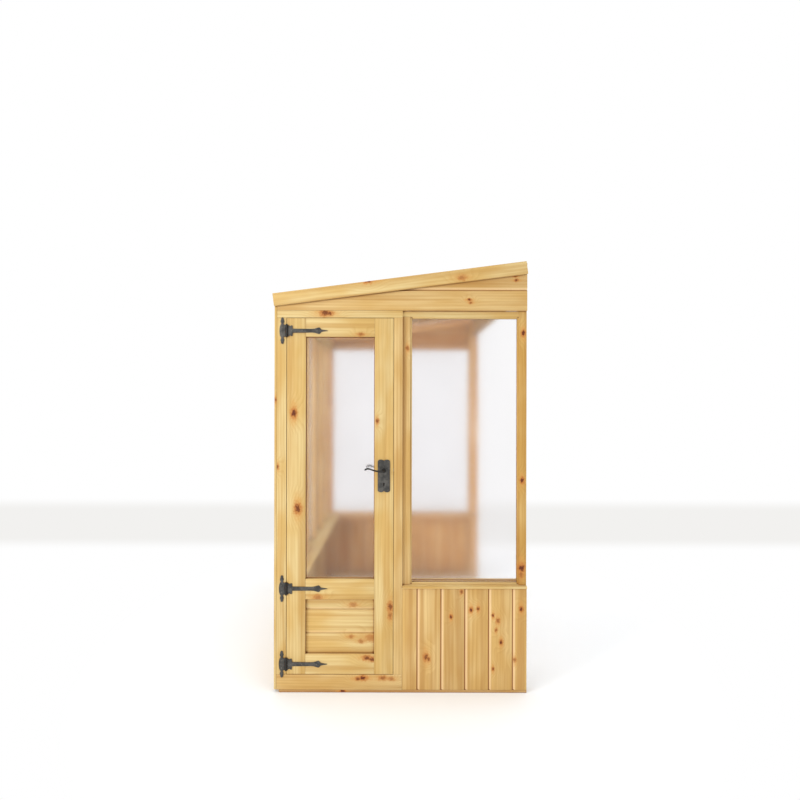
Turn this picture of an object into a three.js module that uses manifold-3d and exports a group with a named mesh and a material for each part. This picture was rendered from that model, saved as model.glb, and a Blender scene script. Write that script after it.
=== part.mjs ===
// A timber lean-to greenhouse: a glazed frame on boarded lower walls, open where it meets the house.
// X runs from the low glazed wall to the house, Y from the door gable to the far gable, Z up.
// All lengths are millimetres.
import * as THREE from "three";
import { mergeVertices } from "three/addons/utils/BufferGeometryUtils.js";
import Module from "manifold-3d";

const wasm = await Module();
wasm.setup();

// Driving dimensions of the building
const shedWidth = 1200; // boards of the low wall to the house wall
const shedLength = 1800; // boards of one gable to boards of the other
const eavesHeight = 1910; // top of the bargeboards at the low side
const roofPitchDegrees = 7.35;
const lowBoardHeight = 78; // boards over the door, at the low corner under the bargeboard
const sillHeight = 513; // top of the window sills
const doorFrameWidth = 603; // over both door jambs

// Timber sections and boards
const studDepth = 45;
const studWidth = 45;
const claddingThickness = 12;
const cornerTrimThickness = 12;
const cornerTrimWidth = 65;
const cornerTrimFootGap = 14;
const boardFootGap = 13; // the edge of the base shows below the gables' boards
const basePlateHeight = 45;
const veeDepth = 4.5;
const veeLead = 6; // width of the groove's shaded bevel
const veeTrail = 10; // width of its lit bevel
const boardPitch = 114.5;
const firstBoardWidth = 73.5; // door frame to the first joint beside it
const headerJointRise = 100; // joint above the foot of the boards over door and window
const windowStileWidth = 37;
const farHouseStileWidth = 65;
const headRailHeight = 28;
const bargeboardHeight = 60;
const bargeboardThickness = 19;
const eavesOverhang = 7; // bargeboards and fascia beyond the corner trims

// Facets of round pieces
const hubSides = 20;
const knuckleSides = 16;
const pinSides = 12;

// Fits
const seatGap = 0.3; // between pieces that touch
const overrun = 25; // how far a cut runs past the piece
const jointRoot = 2; // how far timbers of one piece run into each other

// Glazing
const glassThickness = 4;
const glassSetback = 14; // face of the frame to the face of the glass
const beadWidth = 8;
const beadDepth = 10;
const beadChamfer = 3;
const beadRoot = 2; // how far a bead is let into its timber

// Sills
const sillThickness = 12;
const sillNose = 9; // beyond the boards below
const sillFall = 3; // drop of the top from the frame to the nose
const sillSeat = 3; // upstand under the glass
const sillLedge = 60; // shelf inside the frame
const sillRailHeight = 45;

// Roof
const roofRebateDepth = 14;
const roofRebateWidth = 12;
const rafterDepth = 60;
const rafterDrop = 6; // rafters lie below the top of the bargeboards
const rafterSpacing = 600;
const ridgePlateWidth = 45;
const ridgePlateDrop = 80; // below the rafters that meet it
const eavesGlassInset = 7;

// Roof vent
const ventLength = 515; // up the slope, measured level
const ventSashWidth = 610;
const ventSashRail = 45;
const ventSashThickness = 28;
const ventHouseGap = 25; // house wall to the sash
const ventRailGap = 2; // sash to the strip that carries its hinge
const ventGlassRise = 12;
const ventTrimmerInset = 10;
const ventTrimmerWidth = 45;

// Door frame and leaf
const hingeJambWidth = 46;
const lockJambWidth = 42;
const thresholdHeight = 73;
const doorHeadHeight = 35;
const doorStopWidth = 12;
const stopGap = 1; // between the leaf and its stops
const doorGap = 2;
const leafThickness = 38;
const leafStileWidth = 90;
const leafTopRail = 89;
const leafMidRailRise = 30; // top of the rail above the window sills
const leafMidRail = 97;
const leafBottomRail = 96;
const leafGrooveDepth = 8;
const panelThickness = 10;
const panelSetback = 12;
const panelJointRise = 98; // joint of the panel above the bottom rail

// Door hinges
const topHingeDrop = 61; // pin below the top of the leaf
const middleHingeDrop = 45.4; // below the top of the middle rail
const bottomHingeRise = 48; // above the foot of the leaf
const hingeMetalThickness = 3;
const knuckleRadius = 5.2;
const pinRadius = 2.6;
const pinClearance = 0.35;
const knuckleHeight = 56;
const middleKnuckleHeight = 22;
const hingePlateWidth = 27;
const hingePlateReach = 21; // pin to the middle of the plate
const hingePlateHeight = 127;
const strapReach = 197; // pin to spear tip

// Lever lock
const leverHeight = 1066;
const leverBackset = 45; // leaf's lock edge to the spindle
const handlePlateWidth = 58;
const handlePlateHeight = 156;
const handlePlateDrop = 105; // spindle to the foot of the plate
const handlePlateThickness = 3.5;
const handlePlateLobeRadius = 20;
const spindleSide = 8;
const spindleClearance = 0.8;
const leverHubRadius = 11;
const leverHubLength = 12;
const leverStandoff = 43.7; // plate to the middle of the lever
const leverLength = 90; // spindle to the middle of the lever's tip
const leverRise = 12.5;
const leverRadius = 5.6;
const leverWaistRadius = 3.5;
const leverTipRadius = 4.6;
const leverTipRounding = 0.8;
const keyholeDrop = 64; // below the spindle
const keyholeRadius = 4.5;
const keyholeSlotWidth = 5;
const keyholeSlotLength = 13;
const lockCaseHeight = 128;
const lockCaseDrop = 94; // spindle to the foot of the case
const lockCaseThickness = 15;
const lockCaseDepth = 66;
const forendThickness = 2.5;
const forendWidth = 22;
const forendHeight = 156;
const latchHeight = 16;
const latchThickness = 10;
const latchLength = 34;
const latchReach = 10; // beyond the leaf's edge
const deadBoltHeight = 20;
const deadBoltThickness = 9;
const deadBoltLength = 34;
const deadBoltTravel = 14;
const boltClearance = 0.6;

// Vent ironmongery
const ventHingeLeaf = 2.5;
const ventKnuckleRadius = 4.5;
const ventPinRadius = 2;
const ventHingeLength = 500;
const ventKnucklesEachWay = 2;
const ventSashLeaf = 24; // width of the leaf on the sash
const stayWidth = 16;
const stayThickness = 4;
const stayHoleRadius = 3.2;
const stayHoleSpacing = 55;
const stayHoles = 4;
const stayEyeRadius = 6;
const stayPinRadius = 2.6;
const stayTail = 12;
const stayReach = 309; // pivot to the last hole
const stayOffset = 22; // pivot beyond the sash's lower rail
const stayDrop = 9; // pivot below the sash
const bracketThickness = 4;
const cheekFoot = 2; // underside of the bracket's arm above the foot of the sash
const cheekTop = 11;
const pegRadius = 2.6;
const pegLength = 16;
const pegRoot = 5; // how far the peg is let into the trimmer
const pegDrop = 50; // below the top of the bargeboards

// Planes that the pieces share
const lowFace = -shedWidth / 2;
const houseFace = shedWidth / 2;
const gableFace = shedLength / 2;
const gableFrameFace = gableFace - claddingThickness;
const gableFrameBack = gableFrameFace - studDepth;
const lowFrameFace = lowFace + claddingThickness;
const lowFrameBack = lowFrameFace + studDepth;
const trimFace = lowFace - cornerTrimThickness;
const lowReach = trimFace - eavesOverhang;
const ledgeEdge = lowFrameBack + sillLedge;
const sillFoot = sillHeight - sillThickness;
const glassFoot = sillHeight + sillSeat;
const headerHeight = eavesHeight - lowBoardHeight; // underside of the boards over door and windows
const windowTop = headerHeight - headRailHeight;
const doorHeadFoot = headerHeight - doorHeadHeight;
const thresholdTop = boardFootGap + thresholdHeight;
const lockJambRight = lowFace + doorFrameWidth;
const lockJambLeft = lockJambRight - lockJambWidth;
const hingeJambRight = lowFace + hingeJambWidth;
const midPostRight = lockJambRight + windowStileWidth;
const nearFirstJoint = lockJambRight + firstBoardWidth;
const leafLeft = hingeJambRight + doorGap;
const leafRight = lockJambLeft - doorGap;
const leafFoot = thresholdTop + doorGap;
const leafTop = doorHeadFoot - doorGap;
const leafMidRailTop = sillHeight + leafMidRailRise;
const keyholeHeight = leverHeight - keyholeDrop;
const handlePlateFoot = leverHeight - handlePlateDrop;
const lockCaseFoot = leverHeight - lockCaseDrop;
const leafFront = -gableFace;
const leafBack = leafFront + leafThickness;
const nearHouseStile = houseFace - windowStileWidth;
const farHouseStile = houseFace - farHouseStileWidth;
const mullionLeft = (lowFrameBack + farHouseStile - studWidth) / 2;
const mullionRight = mullionLeft + studWidth;
const innerRafter = rafterSpacing / 2 - studWidth / 2; // inner face of each middle rafter
const outerRafter = rafterSpacing / 2 + studWidth / 2;
const ridgeFace = houseFace - ridgePlateWidth;
const pitch = THREE.MathUtils.degToRad(roofPitchDegrees);

// Levels measured square to the roof, down from the top of the bargeboards
const rafterTop = -rafterDrop;
const rafterFoot = rafterTop - rafterDepth;
const glassSeat = rafterTop - roofRebateDepth;
const ventFoot = rafterTop + seatGap;
const ventTop = ventFoot + ventSashThickness;

const pine = new THREE.MeshStandardMaterial({ name: "pine", color: 0xe4c78f, roughness: 0.6 });
const pineShade = new THREE.MeshStandardMaterial({ name: "pine_frame", color: 0xdcb87a, roughness: 0.65 });
const glass = new THREE.MeshStandardMaterial({
  name: "glass",
  color: 0xdfe8e6,
  roughness: 0.25,
  transparent: true,
  opacity: 0.45,
});
const iron = new THREE.MeshStandardMaterial({
  name: "black_iron",
  color: 0x3d4145,
  roughness: 0.6,
  metalness: 0.6,
});
const steel = new THREE.MeshStandardMaterial({
  name: "steel",
  color: 0xb9bcc0,
  roughness: 0.35,
  metalness: 0.9,
});

// Closed three.js geometry as a solid that can be joined and cut.
function solidFrom(geometry) {
  const bare = geometry.clone();
  bare.deleteAttribute("normal");
  bare.deleteAttribute("uv");
  const merged = mergeVertices(bare, 1e-4);
  return new wasm.Manifold(
    new wasm.Mesh({
      numProp: 3,
      vertProperties: merged.attributes.position.array,
      triVerts: new Uint32Array(merged.index.array),
    }),
  );
}

// The mesh of a solid, in its own material.
function piece(name, solid, material) {
  const made = solid.getMesh();
  const geometry = new THREE.BufferGeometry();
  geometry.setAttribute("position", new THREE.BufferAttribute(new Float32Array(made.vertProperties), 3));
  geometry.setIndex(new THREE.BufferAttribute(new Uint32Array(made.triVerts), 1));
  geometry.computeVertexNormals();
  const mesh = new THREE.Mesh(geometry, material);
  mesh.name = name;
  return mesh;
}

function joined(first, ...others) {
  return others.flat().reduce((sum, other) => sum.add(other), first);
}

function without(first, ...cuts) {
  return cuts.flat().reduce((rest, cut) => rest.subtract(cut), first);
}

function box([x0, y0, z0], [x1, y1, z1]) {
  const geometry = new THREE.BoxGeometry(x1 - x0, y1 - y0, z1 - z0);
  return solidFrom(geometry.translate((x0 + x1) / 2, (y0 + y1) / 2, (z0 + z1) / 2));
}

// A box that leaves the seat gap all round a neighbour.
function clearanceBox(low, high) {
  return box(
    low.map((value) => value - seatGap),
    high.map((value) => value + seatGap),
  );
}

function shapeOf(outline) {
  return new THREE.Shape(outline.map(([a, b]) => new THREE.Vector2(a, b)));
}

function extruded(shape, length, curveSegments = 12) {
  return new THREE.ExtrudeGeometry(shape, { depth: length, bevelEnabled: false, curveSegments });
}

const axisX = new THREE.Vector3(1, 0, 0);
const axisY = new THREE.Vector3(0, 1, 0);
const axisZ = new THREE.Vector3(0, 0, 1);

// An outline of X and Y, run up from one height to another.
function alongZ(shape, z0, z1) {
  return solidFrom(extruded(shape, z1 - z0).translate(0, 0, z0));
}

// An outline of X and Z, run along Y.
function alongY(shape, y0, y1) {
  const turn = new THREE.Matrix4().makeBasis(axisX, axisZ, axisY.clone().negate());
  return solidFrom(extruded(shape, y1 - y0).applyMatrix4(turn).translate(0, y1, 0));
}

// An outline of Y and Z, run along X.
function alongX(shape, x0, x1) {
  const turn = new THREE.Matrix4().makeBasis(axisY, axisZ, axisX);
  return solidFrom(extruded(shape, x1 - x0).applyMatrix4(turn).translate(x0, 0, 0));
}

function cylinder(radius, length, axis, [x, y, z], sides = hubSides) {
  const geometry = new THREE.CylinderGeometry(radius, radius, length, sides);
  const turn = new THREE.Quaternion().setFromUnitVectors(axisY, axis);
  return solidFrom(geometry.applyQuaternion(turn).translate(x, y, z));
}

// Height of a plane that lies a given distance, square to the roof, from the bargeboards' top.
function roofHeight(x, level) {
  return eavesHeight + (x - lowReach) * Math.tan(pitch) + level / Math.cos(pitch);
}

// A slab under the roof with plumb ends.
function roofSlab([x0, x1], [foot, top], [y0, y1]) {
  const outline = [
    [x0, roofHeight(x0, foot)],
    [x1, roofHeight(x1, foot)],
    [x1, roofHeight(x1, top)],
    [x0, roofHeight(x0, top)],
  ];
  return alongY(shapeOf(outline), y0, y1);
}

// Two distances from the middle of the building, on the near (-1) or far (+1) side, in rising order.
function onSide(side, a, b) {
  return [side * a, side * b].sort((p, q) => p - q);
}

// Glazing beads

// Where the outer and inner bead lie through a wall, each from its exposed side to the glass.
function beadPlaces(frameFace, inward) {
  const outer = frameFace + inward * glassSetback;
  const inner = outer + inward * glassThickness;
  return [
    [outer - inward * beadDepth, outer - inward * seatGap],
    [inner + inward * beadDepth, inner + inward * seatGap],
  ];
}

// Section of a bead, across the opening and through the wall, with its sight edge chamfered.
function beadSection(face, into, [exposed, seat]) {
  const tip = face + into * beadWidth;
  const root = face - into * beadRoot;
  return [
    [root, exposed],
    [tip - into * beadChamfer, exposed],
    [tip, exposed + Math.sign(seat - exposed) * beadChamfer],
    [tip, seat],
    [root, seat],
  ];
}

const swapped = (outline) => outline.map(([a, b]) => [b, a]);

function gablePostBeads(side, face, into, [z0, z1]) {
  const places = beadPlaces(side * gableFrameFace, -side);
  return places.map((place) => alongZ(shapeOf(beadSection(face, into, place)), z0, z1));
}

function gableRailBeads(side, face, into, [x0, x1]) {
  const places = beadPlaces(side * gableFrameFace, -side);
  return places.map((place) => alongX(shapeOf(swapped(beadSection(face, into, place))), x0, x1));
}

function lowPostBeads(face, into, [z0, z1]) {
  const places = beadPlaces(lowFrameFace, 1);
  return places.map((place) => alongZ(shapeOf(swapped(beadSection(face, into, place))), z0, z1));
}

function lowRailBeads(face, into, [y0, y1]) {
  const places = beadPlaces(lowFrameFace, 1);
  return places.map((place) => alongY(shapeOf(swapped(beadSection(face, into, place))), y0, y1));
}

const beadRise = [glassFoot + seatGap, windowTop - seatGap];

// The run of a rail's beads, short of the beads on the posts at both ends.
function beadRun(from, to) {
  return [from + beadWidth + seatGap, to - beadWidth - seatGap];
}

function gablePane(side, [left, right]) {
  const outer = gableFrameFace - glassSetback;
  const [y0, y1] = onSide(side, outer, outer - glassThickness);
  return box([left + seatGap, y0, glassFoot + seatGap], [right - seatGap, y1, windowTop - seatGap]);
}

function lowPane([from, to]) {
  const outer = lowFrameFace + glassSetback;
  return box(
    [outer, from + seatGap, glassFoot + seatGap],
    [outer + glassThickness, to - seatGap, windowTop - seatGap],
  );
}

// Sills

// Section of a sill, through the wall and up, with its rail below, its upstand and its inner shelf.
function sillSection(frameFace, inward) {
  const nose = frameFace - inward * (claddingThickness + sillNose);
  const frameBack = frameFace + inward * studDepth;
  const ledge = frameBack + inward * sillLedge;
  return [
    [nose, sillFoot],
    [nose, sillHeight - sillFall],
    [frameFace, sillHeight],
    [frameFace, glassFoot],
    [frameBack, glassFoot],
    [frameBack, sillHeight],
    [ledge, sillHeight],
    [ledge, sillFoot],
    [frameBack, sillFoot],
    [frameBack, sillFoot - sillRailHeight],
    [frameFace, sillFoot - sillRailHeight],
    [frameFace, sillFoot],
  ];
}

// Boarded panels

// Outline of vee-jointed boards, across the boards and through the wall.
// lit is the way in which the wider bevel of each joint lies.
function boardSection([from, to], firstJoint, lit, front, back) {
  const groove = front + Math.sign(back - front) * veeDepth;
  const [before, after] = lit > 0 ? [veeLead, veeTrail] : [veeTrail, veeLead];
  const outline = [
    [from, back],
    [from, front],
  ];
  for (let joint = firstJoint; joint < to - after; joint += boardPitch) {
    outline.push([joint - before, front], [joint, groove], [joint + after, front]);
  }
  outline.push([to, front], [to, back]);
  return outline;
}

// Where the first joint lies if the joints are set out both ways from a middle board.
function firstJointOf(from, middle) {
  const whole = Math.floor((middle - boardPitch / 2 - from - veeLead) / boardPitch);
  return middle - boardPitch / 2 - whole * boardPitch;
}

function gableBoards(side, [x0, x1], firstJoint) {
  const [front, back] = [side * gableFace, side * (gableFrameFace + seatGap)];
  const outline = boardSection([x0, x1], firstJoint, 1, front, back);
  return alongZ(shapeOf(outline), boardFootGap, sillFoot - seatGap);
}

function lowBoards() {
  const end = gableFrameBack - seatGap;
  const outline = boardSection([-end, end], firstJointOf(-end, 0), 1, lowFace, lowFrameFace - seatGap);
  return alongZ(shapeOf(swapped(outline)), boardFootGap, sillFoot - seatGap);
}

// Boards over the windows with the end rafter behind them, rebated for the roof glass.
function gableHeader(side) {
  const foot = headerHeight + seatGap;
  const top = roofHeight(houseFace, rafterTop) + overrun;
  const [front, back] = [side * gableFace, side * gableFrameFace];
  const board = boardSection([foot, top], headerHeight + headerJointRise, 1, front, back);
  const boards = alongX(shapeOf(swapped(board)), lowFace, houseFace);
  const lid = roofSlab(
    [lowFace - overrun, houseFace + overrun],
    [rafterTop, shedWidth],
    [-shedLength, shedLength],
  );
  const rafter = roofSlab(
    [lowFace, houseFace],
    [rafterFoot, rafterTop],
    onSide(side, gableFrameBack, gableFrameFace + claddingThickness / 2),
  );
  const rebate = roofSlab(
    [lowFace - overrun, ridgeFace],
    [glassSeat, rafterTop + overrun],
    onSide(side, gableFrameBack - overrun, gableFrameBack + roofRebateWidth),
  );
  return without(joined(boards, rafter), lid, rebate);
}

function bargeboard(side) {
  const across = (along, level) => [
    lowReach + along * Math.cos(pitch) - level * Math.sin(pitch),
    eavesHeight + along * Math.sin(pitch) + level * Math.cos(pitch),
  ];
  const run = (houseFace - lowReach - bargeboardHeight * Math.sin(pitch)) / Math.cos(pitch);
  const outline = [
    across(0, -bargeboardHeight),
    across(run, -bargeboardHeight),
    across(run, 0),
    across(0, 0),
  ];
  return alongY(shapeOf(outline), ...onSide(side, gableFace + seatGap, gableFace + bargeboardThickness));
}

// A gable post that runs up to the end rafter.
function gablePost(side, [x0, x1]) {
  const outline = [
    [x0, basePlateHeight + seatGap],
    [x1, basePlateHeight + seatGap],
    [x1, roofHeight(x1, rafterFoot) - seatGap],
    [x0, roofHeight(x0, rafterFoot) - seatGap],
  ];
  return alongY(shapeOf(outline), ...onSide(side, gableFrameBack, gableFrameFace));
}

// Base and door frame

// Base plates, with a ledge that the boards of each gable stand on.
function baseFrame() {
  const gablePlate = (side) => {
    const [y0, y1] = onSide(side, gableFrameBack, gableFrameFace);
    const [ledge0, ledge1] = onSide(side, gableFrameFace - jointRoot, gableFace);
    return joined(
      box([lowFrameFace, y0, 0], [houseFace, y1, basePlateHeight]),
      box([lowFrameFace, ledge0, 0], [houseFace, ledge1, boardFootGap - seatGap]),
    );
  };
  const lowPlate = box([lowFrameFace, -gableFrameFace, 0], [lowFrameBack, gableFrameFace, basePlateHeight]);
  return joined(gablePlate(-1), gablePlate(1), lowPlate);
}

function doorThreshold() {
  const plateTop = basePlateHeight + seatGap;
  const apronBack = -gableFrameFace - seatGap;
  const outline = [
    [-gableFace, boardFootGap],
    [apronBack, boardFootGap],
    [apronBack, plateTop],
    [-gableFrameBack, plateTop],
    [-gableFrameBack, thresholdTop],
    [-gableFace, thresholdTop],
  ];
  return alongX(shapeOf(outline), lowFace, lockJambRight - seatGap);
}

const stopFront = leafBack + stopGap;

function hingeJamb() {
  const outline = [
    [lowFace, -gableFace],
    [hingeJambRight, -gableFace],
    [hingeJambRight, stopFront],
    [hingeJambRight + doorStopWidth, stopFront],
    [hingeJambRight + doorStopWidth, -gableFrameBack],
    [lowFace, -gableFrameBack],
  ];
  const post = alongZ(shapeOf(outline), thresholdTop + seatGap, doorHeadFoot - seatGap);
  return joined(post, lowPostBeads(-gableFrameBack, 1, [glassFoot + seatGap, doorHeadFoot - seatGap]));
}

// One post that holds the lock side of the door and the window beside it, with pockets for both bolts.
function nearMidPost() {
  const doorSide = [
    [lockJambLeft, -gableFace],
    [lockJambRight, -gableFace],
    [lockJambRight, -gableFrameFace],
    [lockJambRight + jointRoot, -gableFrameFace],
    [lockJambRight + jointRoot, -gableFrameBack],
    [lockJambLeft - doorStopWidth, -gableFrameBack],
    [lockJambLeft - doorStopWidth, stopFront],
    [lockJambLeft, stopFront],
  ];
  const jamb = alongZ(shapeOf(doorSide), thresholdTop + seatGap, doorHeadFoot - seatGap);
  const stile = box(
    [lockJambRight, -gableFrameFace, basePlateHeight + seatGap],
    [midPostRight, -gableFrameBack, windowTop - seatGap],
  );
  const latchTip = leafRight + latchReach + boltClearance;
  const deadBoltTip = leafRight + deadBoltTravel + boltClearance;
  const pockets = [
    boltSpace(latchHeight, latchThickness, leverHeight, [leafRight, latchTip]),
    boltSpace(deadBoltHeight, deadBoltThickness, keyholeHeight, [leafRight, deadBoltTip]),
  ];
  return without(joined(jamb, stile, gablePostBeads(-1, midPostRight, 1, beadRise)), pockets);
}

// Rail over the door and the window, with the door's top stop.
function nearHeadRail() {
  const overDoor = box(
    [lowFace, -gableFace, doorHeadFoot],
    [lockJambRight - seatGap, -gableFrameBack, headerHeight],
  );
  const overWindow = box(
    [lockJambRight - seatGap - jointRoot, -gableFrameFace, windowTop],
    [nearHouseStile - seatGap, -gableFrameBack, headerHeight],
  );
  const stop = box(
    [hingeJambRight + doorStopWidth + seatGap, stopFront, doorHeadFoot - doorStopWidth],
    [lockJambLeft - doorStopWidth - seatGap, -gableFrameBack, doorHeadFoot + jointRoot],
  );
  const beads = gableRailBeads(-1, windowTop, -1, beadRun(midPostRight, nearHouseStile));
  return joined(overDoor, overWindow, stop, beads);
}

function nearSill() {
  const body = alongX(shapeOf(sillSection(-gableFrameFace, 1)), lockJambRight + seatGap, houseFace);
  const beads = gableRailBeads(-1, glassFoot, 1, beadRun(midPostRight, nearHouseStile));
  return without(
    joined(body, beads),
    clearanceBox([lockJambRight, -gableFrameFace, 0], [midPostRight, -gableFrameBack, eavesHeight]),
    clearanceBox([nearHouseStile, -gableFrameFace, 0], [houseFace + overrun, -gableFrameBack, eavesHeight]),
  );
}

// Far gable

function farHeadRail() {
  const rail = box(
    [lowFrameBack + seatGap, gableFrameBack, windowTop],
    [farHouseStile - seatGap, gableFrameFace, headerHeight],
  );
  const mullion = box(
    [mullionLeft, gableFrameBack, glassFoot + seatGap],
    [mullionRight, gableFrameFace, windowTop + jointRoot],
  );
  return joined(
    rail,
    mullion,
    gablePostBeads(1, mullionLeft, -1, beadRise),
    gablePostBeads(1, mullionRight, 1, beadRise),
    gableRailBeads(1, windowTop, -1, beadRun(lowFrameBack, mullionLeft)),
    gableRailBeads(1, windowTop, -1, beadRun(mullionRight, farHouseStile)),
  );
}

function farSill() {
  const body = alongX(shapeOf(sillSection(gableFrameFace, -1)), lowFace, houseFace);
  const beads = [
    ...gableRailBeads(1, glassFoot, 1, beadRun(lowFrameBack, mullionLeft)),
    ...gableRailBeads(1, glassFoot, 1, beadRun(mullionRight, farHouseStile)),
  ];
  return without(
    joined(body, beads),
    clearanceBox([lowFace - overrun, gableFrameBack, 0], [lowFrameBack, gableFrameFace, eavesHeight]),
    clearanceBox([farHouseStile, gableFrameBack, 0], [houseFace + overrun, gableFrameFace, eavesHeight]),
    clearanceBox([lowFace - overrun, 0, 0], [ledgeEdge, gableFrameBack, eavesHeight]),
  );
}

function farLowPost() {
  return joined(
    gablePost(1, [lowFace, lowFrameBack]),
    gablePostBeads(1, lowFrameBack, 1, beadRise),
    lowPostBeads(gableFrameBack, -1, beadRise),
  );
}

// Low wall

// The three bays of the low wall, each from post to post.
const lowBays = [
  [-gableFrameBack, -outerRafter],
  [-innerRafter, innerRafter],
  [outerRafter, gableFrameBack],
];

function lowPost([y0, y1]) {
  const stud = box([lowFrameFace, y0, basePlateHeight + seatGap], [lowFrameBack, y1, windowTop - seatGap]);
  return joined(stud, lowPostBeads(y0, -1, beadRise), lowPostBeads(y1, 1, beadRise));
}

function lowSill() {
  const end = gableFrameBack - seatGap;
  const trimmed = gableFace - cornerTrimWidth;
  const body = alongY(shapeOf(sillSection(lowFrameFace, 1)), -end, end);
  const beads = lowBays.flatMap(([from, to]) => lowRailBeads(glassFoot, 1, beadRun(from, to)));
  const posts = [-1, 1].map((side) => {
    const [y0, y1] = onSide(side, innerRafter, outerRafter);
    return clearanceBox([lowFrameFace, y0, 0], [lowFrameBack, y1, eavesHeight]);
  });
  const trims = [-1, 1].map((side) => {
    const [y0, y1] = onSide(side, trimmed, shedLength);
    return clearanceBox([lowReach - overrun, y0, 0], [lowFace, y1, eavesHeight]);
  });
  return without(joined(body, beads), posts, trims);
}

// Plate that carries the rafters, with the fascia that the roof glass runs over.
function eavesBeam() {
  const end = gableFrameBack - seatGap;
  const trimmed = gableFace - cornerTrimWidth - seatGap;
  const plate = [
    [lowFrameFace - jointRoot, headerHeight],
    [lowFrameFace, headerHeight],
    [lowFrameFace, windowTop],
    [lowFrameBack, windowTop],
    [lowFrameBack, roofHeight(lowFrameBack, rafterFoot) - seatGap],
    [lowFrameFace - jointRoot, roofHeight(lowFrameFace - jointRoot, rafterFoot) - seatGap],
  ];
  const fascia = [
    [lowReach, headerHeight],
    [lowFrameFace - seatGap, headerHeight],
    [lowFrameFace - seatGap, roofHeight(lowFrameFace - seatGap, glassSeat)],
    [lowReach, roofHeight(lowReach, glassSeat)],
  ];
  const beads = lowBays.flatMap(([from, to]) => lowRailBeads(windowTop, -1, beadRun(from, to)));
  return joined(alongY(shapeOf(plate), -end, end), alongY(shapeOf(fascia), -trimmed, trimmed), beads);
}

function cornerTrim(side) {
  const [x0, x1] = [trimFace, lowFace - seatGap];
  const outline = [
    [x0, cornerTrimFootGap],
    [x1, cornerTrimFootGap],
    [x1, roofHeight(x1, glassSeat) - seatGap],
    [x0, roofHeight(x0, glassSeat) - seatGap],
  ];
  return alongY(shapeOf(outline), ...onSide(side, gableFace - cornerTrimWidth, gableFace));
}

// Roof

const ventHighEdge = houseFace - ventHouseGap;
const ventLowEdge = ventHighEdge - ventLength;
const ventRailFace = ventHighEdge + ventRailGap;
const ventHalf = ventSashWidth / 2;
const trimmerFace = ventLowEdge + ventTrimmerInset;
const trimmerBack = trimmerFace + ventTrimmerWidth;
const ventGlassFoot = ventFoot + ventGlassRise;

// Plate on the house side, with the strip that the vent's hinge is screwed to.
function ridgePlate() {
  const end = gableFrameBack - seatGap;
  const ridgePlateFoot = roofHeight(ridgeFace, rafterFoot) - ridgePlateDrop;
  const outline = [
    [ridgeFace, ridgePlateFoot],
    [houseFace, ridgePlateFoot],
    [houseFace, roofHeight(houseFace, rafterTop)],
    [ridgeFace, roofHeight(ridgeFace, rafterTop)],
  ];
  const strip = roofSlab([ventRailFace, houseFace], [rafterFoot, ventTop], [-ventHalf, ventHalf]);
  return joined(alongY(shapeOf(outline), -end, end), strip);
}

function roofRafter(side) {
  const body = roofSlab(
    [lowFrameFace + seatGap, ridgeFace - seatGap],
    [rafterFoot, rafterTop],
    onSide(side, innerRafter, outerRafter),
  );
  const rebate = (from, to) =>
    roofSlab([lowFace - overrun, houseFace], [glassSeat, rafterTop + overrun], onSide(side, from, to));
  return without(
    body,
    rebate(innerRafter - overrun, innerRafter + roofRebateWidth),
    rebate(outerRafter - roofRebateWidth, outerRafter + overrun),
  );
}

function roofPane([x0, x1], [y0, y1]) {
  const foot = glassSeat + seatGap;
  return roofSlab([x0, x1 - seatGap], [foot, foot + glassThickness], [y0 + seatGap, y1 - seatGap]);
}

// Cross timber that ends the lower glass and carries the foot of the vent, with the stay's peg.
function ventTrimmer() {
  const half = innerRafter - seatGap;
  const beam = roofSlab([trimmerFace, trimmerBack], [rafterFoot, rafterTop], [-half, half]);
  const rebate = roofSlab(
    [trimmerFace - overrun, trimmerFace + roofRebateWidth],
    [glassSeat, rafterTop + overrun],
    [-half - overrun, half + overrun],
  );
  const pegAt = [trimmerBack + pegLength / 2 - pegRoot / 2, 0, roofHeight(trimmerBack, -pegDrop)];
  return joined(without(beam, rebate), cylinder(pegRadius, pegLength + pegRoot, axisX, pegAt, pinSides));
}

// Roof vent

const ventAxisX = (ventHighEdge + ventRailFace) / 2;
const ventAxisLevel = ventTop + seatGap + ventKnuckleRadius;
const ventAxis = [ventAxisX, 0, roofHeight(ventAxisX, ventAxisLevel)];
const ventLeafLevels = [ventTop + seatGap, ventTop + seatGap + ventHingeLeaf];
const ventLeafInset = ventKnuckleRadius + pinClearance;
const stayPivotX = ventLowEdge + ventSashRail + stayOffset;
const stayPivotLevel = ventFoot - stayDrop;
const stayPivot = [stayPivotX, 0, roofHeight(stayPivotX, stayPivotLevel)];

// The knuckles of the long vent hinge that belong to one of its leaves, alternating from the first.
function ventKnuckles(first) {
  const count = ventKnucklesEachWay * 2 + 1;
  const pace = ventHingeLength / count;
  const runs = [];
  for (let index = first; index < count; index += 2) {
    const from = -ventHingeLength / 2 + index * pace;
    runs.push([from + pinClearance, from + pace - pinClearance]);
  }
  return runs;
}

function ventKnuckleSolids(first, into) {
  const [foot, top] = ventLeafLevels;
  return ventKnuckles(first).flatMap(([from, to]) => {
    const [x0, x1] = [ventAxisX, ventAxisX + into * (ventLeafInset + jointRoot)].sort((a, b) => a - b);
    const middle = [ventAxis[0], (from + to) / 2, ventAxis[2]];
    return [
      cylinder(ventKnuckleRadius, to - from, axisY, middle, knuckleSides),
      roofSlab([x0, x1], [foot, top], [from, to]),
    ];
  });
}

function ventHinge() {
  const half = ventHingeLength / 2;
  const leaf = roofSlab([ventAxisX + ventLeafInset, houseFace], ventLeafLevels, [-half, half]);
  const pin = cylinder(ventPinRadius, ventHingeLength - pinClearance * 2, axisY, ventAxis, pinSides);
  return joined(leaf, ventKnuckleSolids(0, 1), pin);
}

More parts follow.
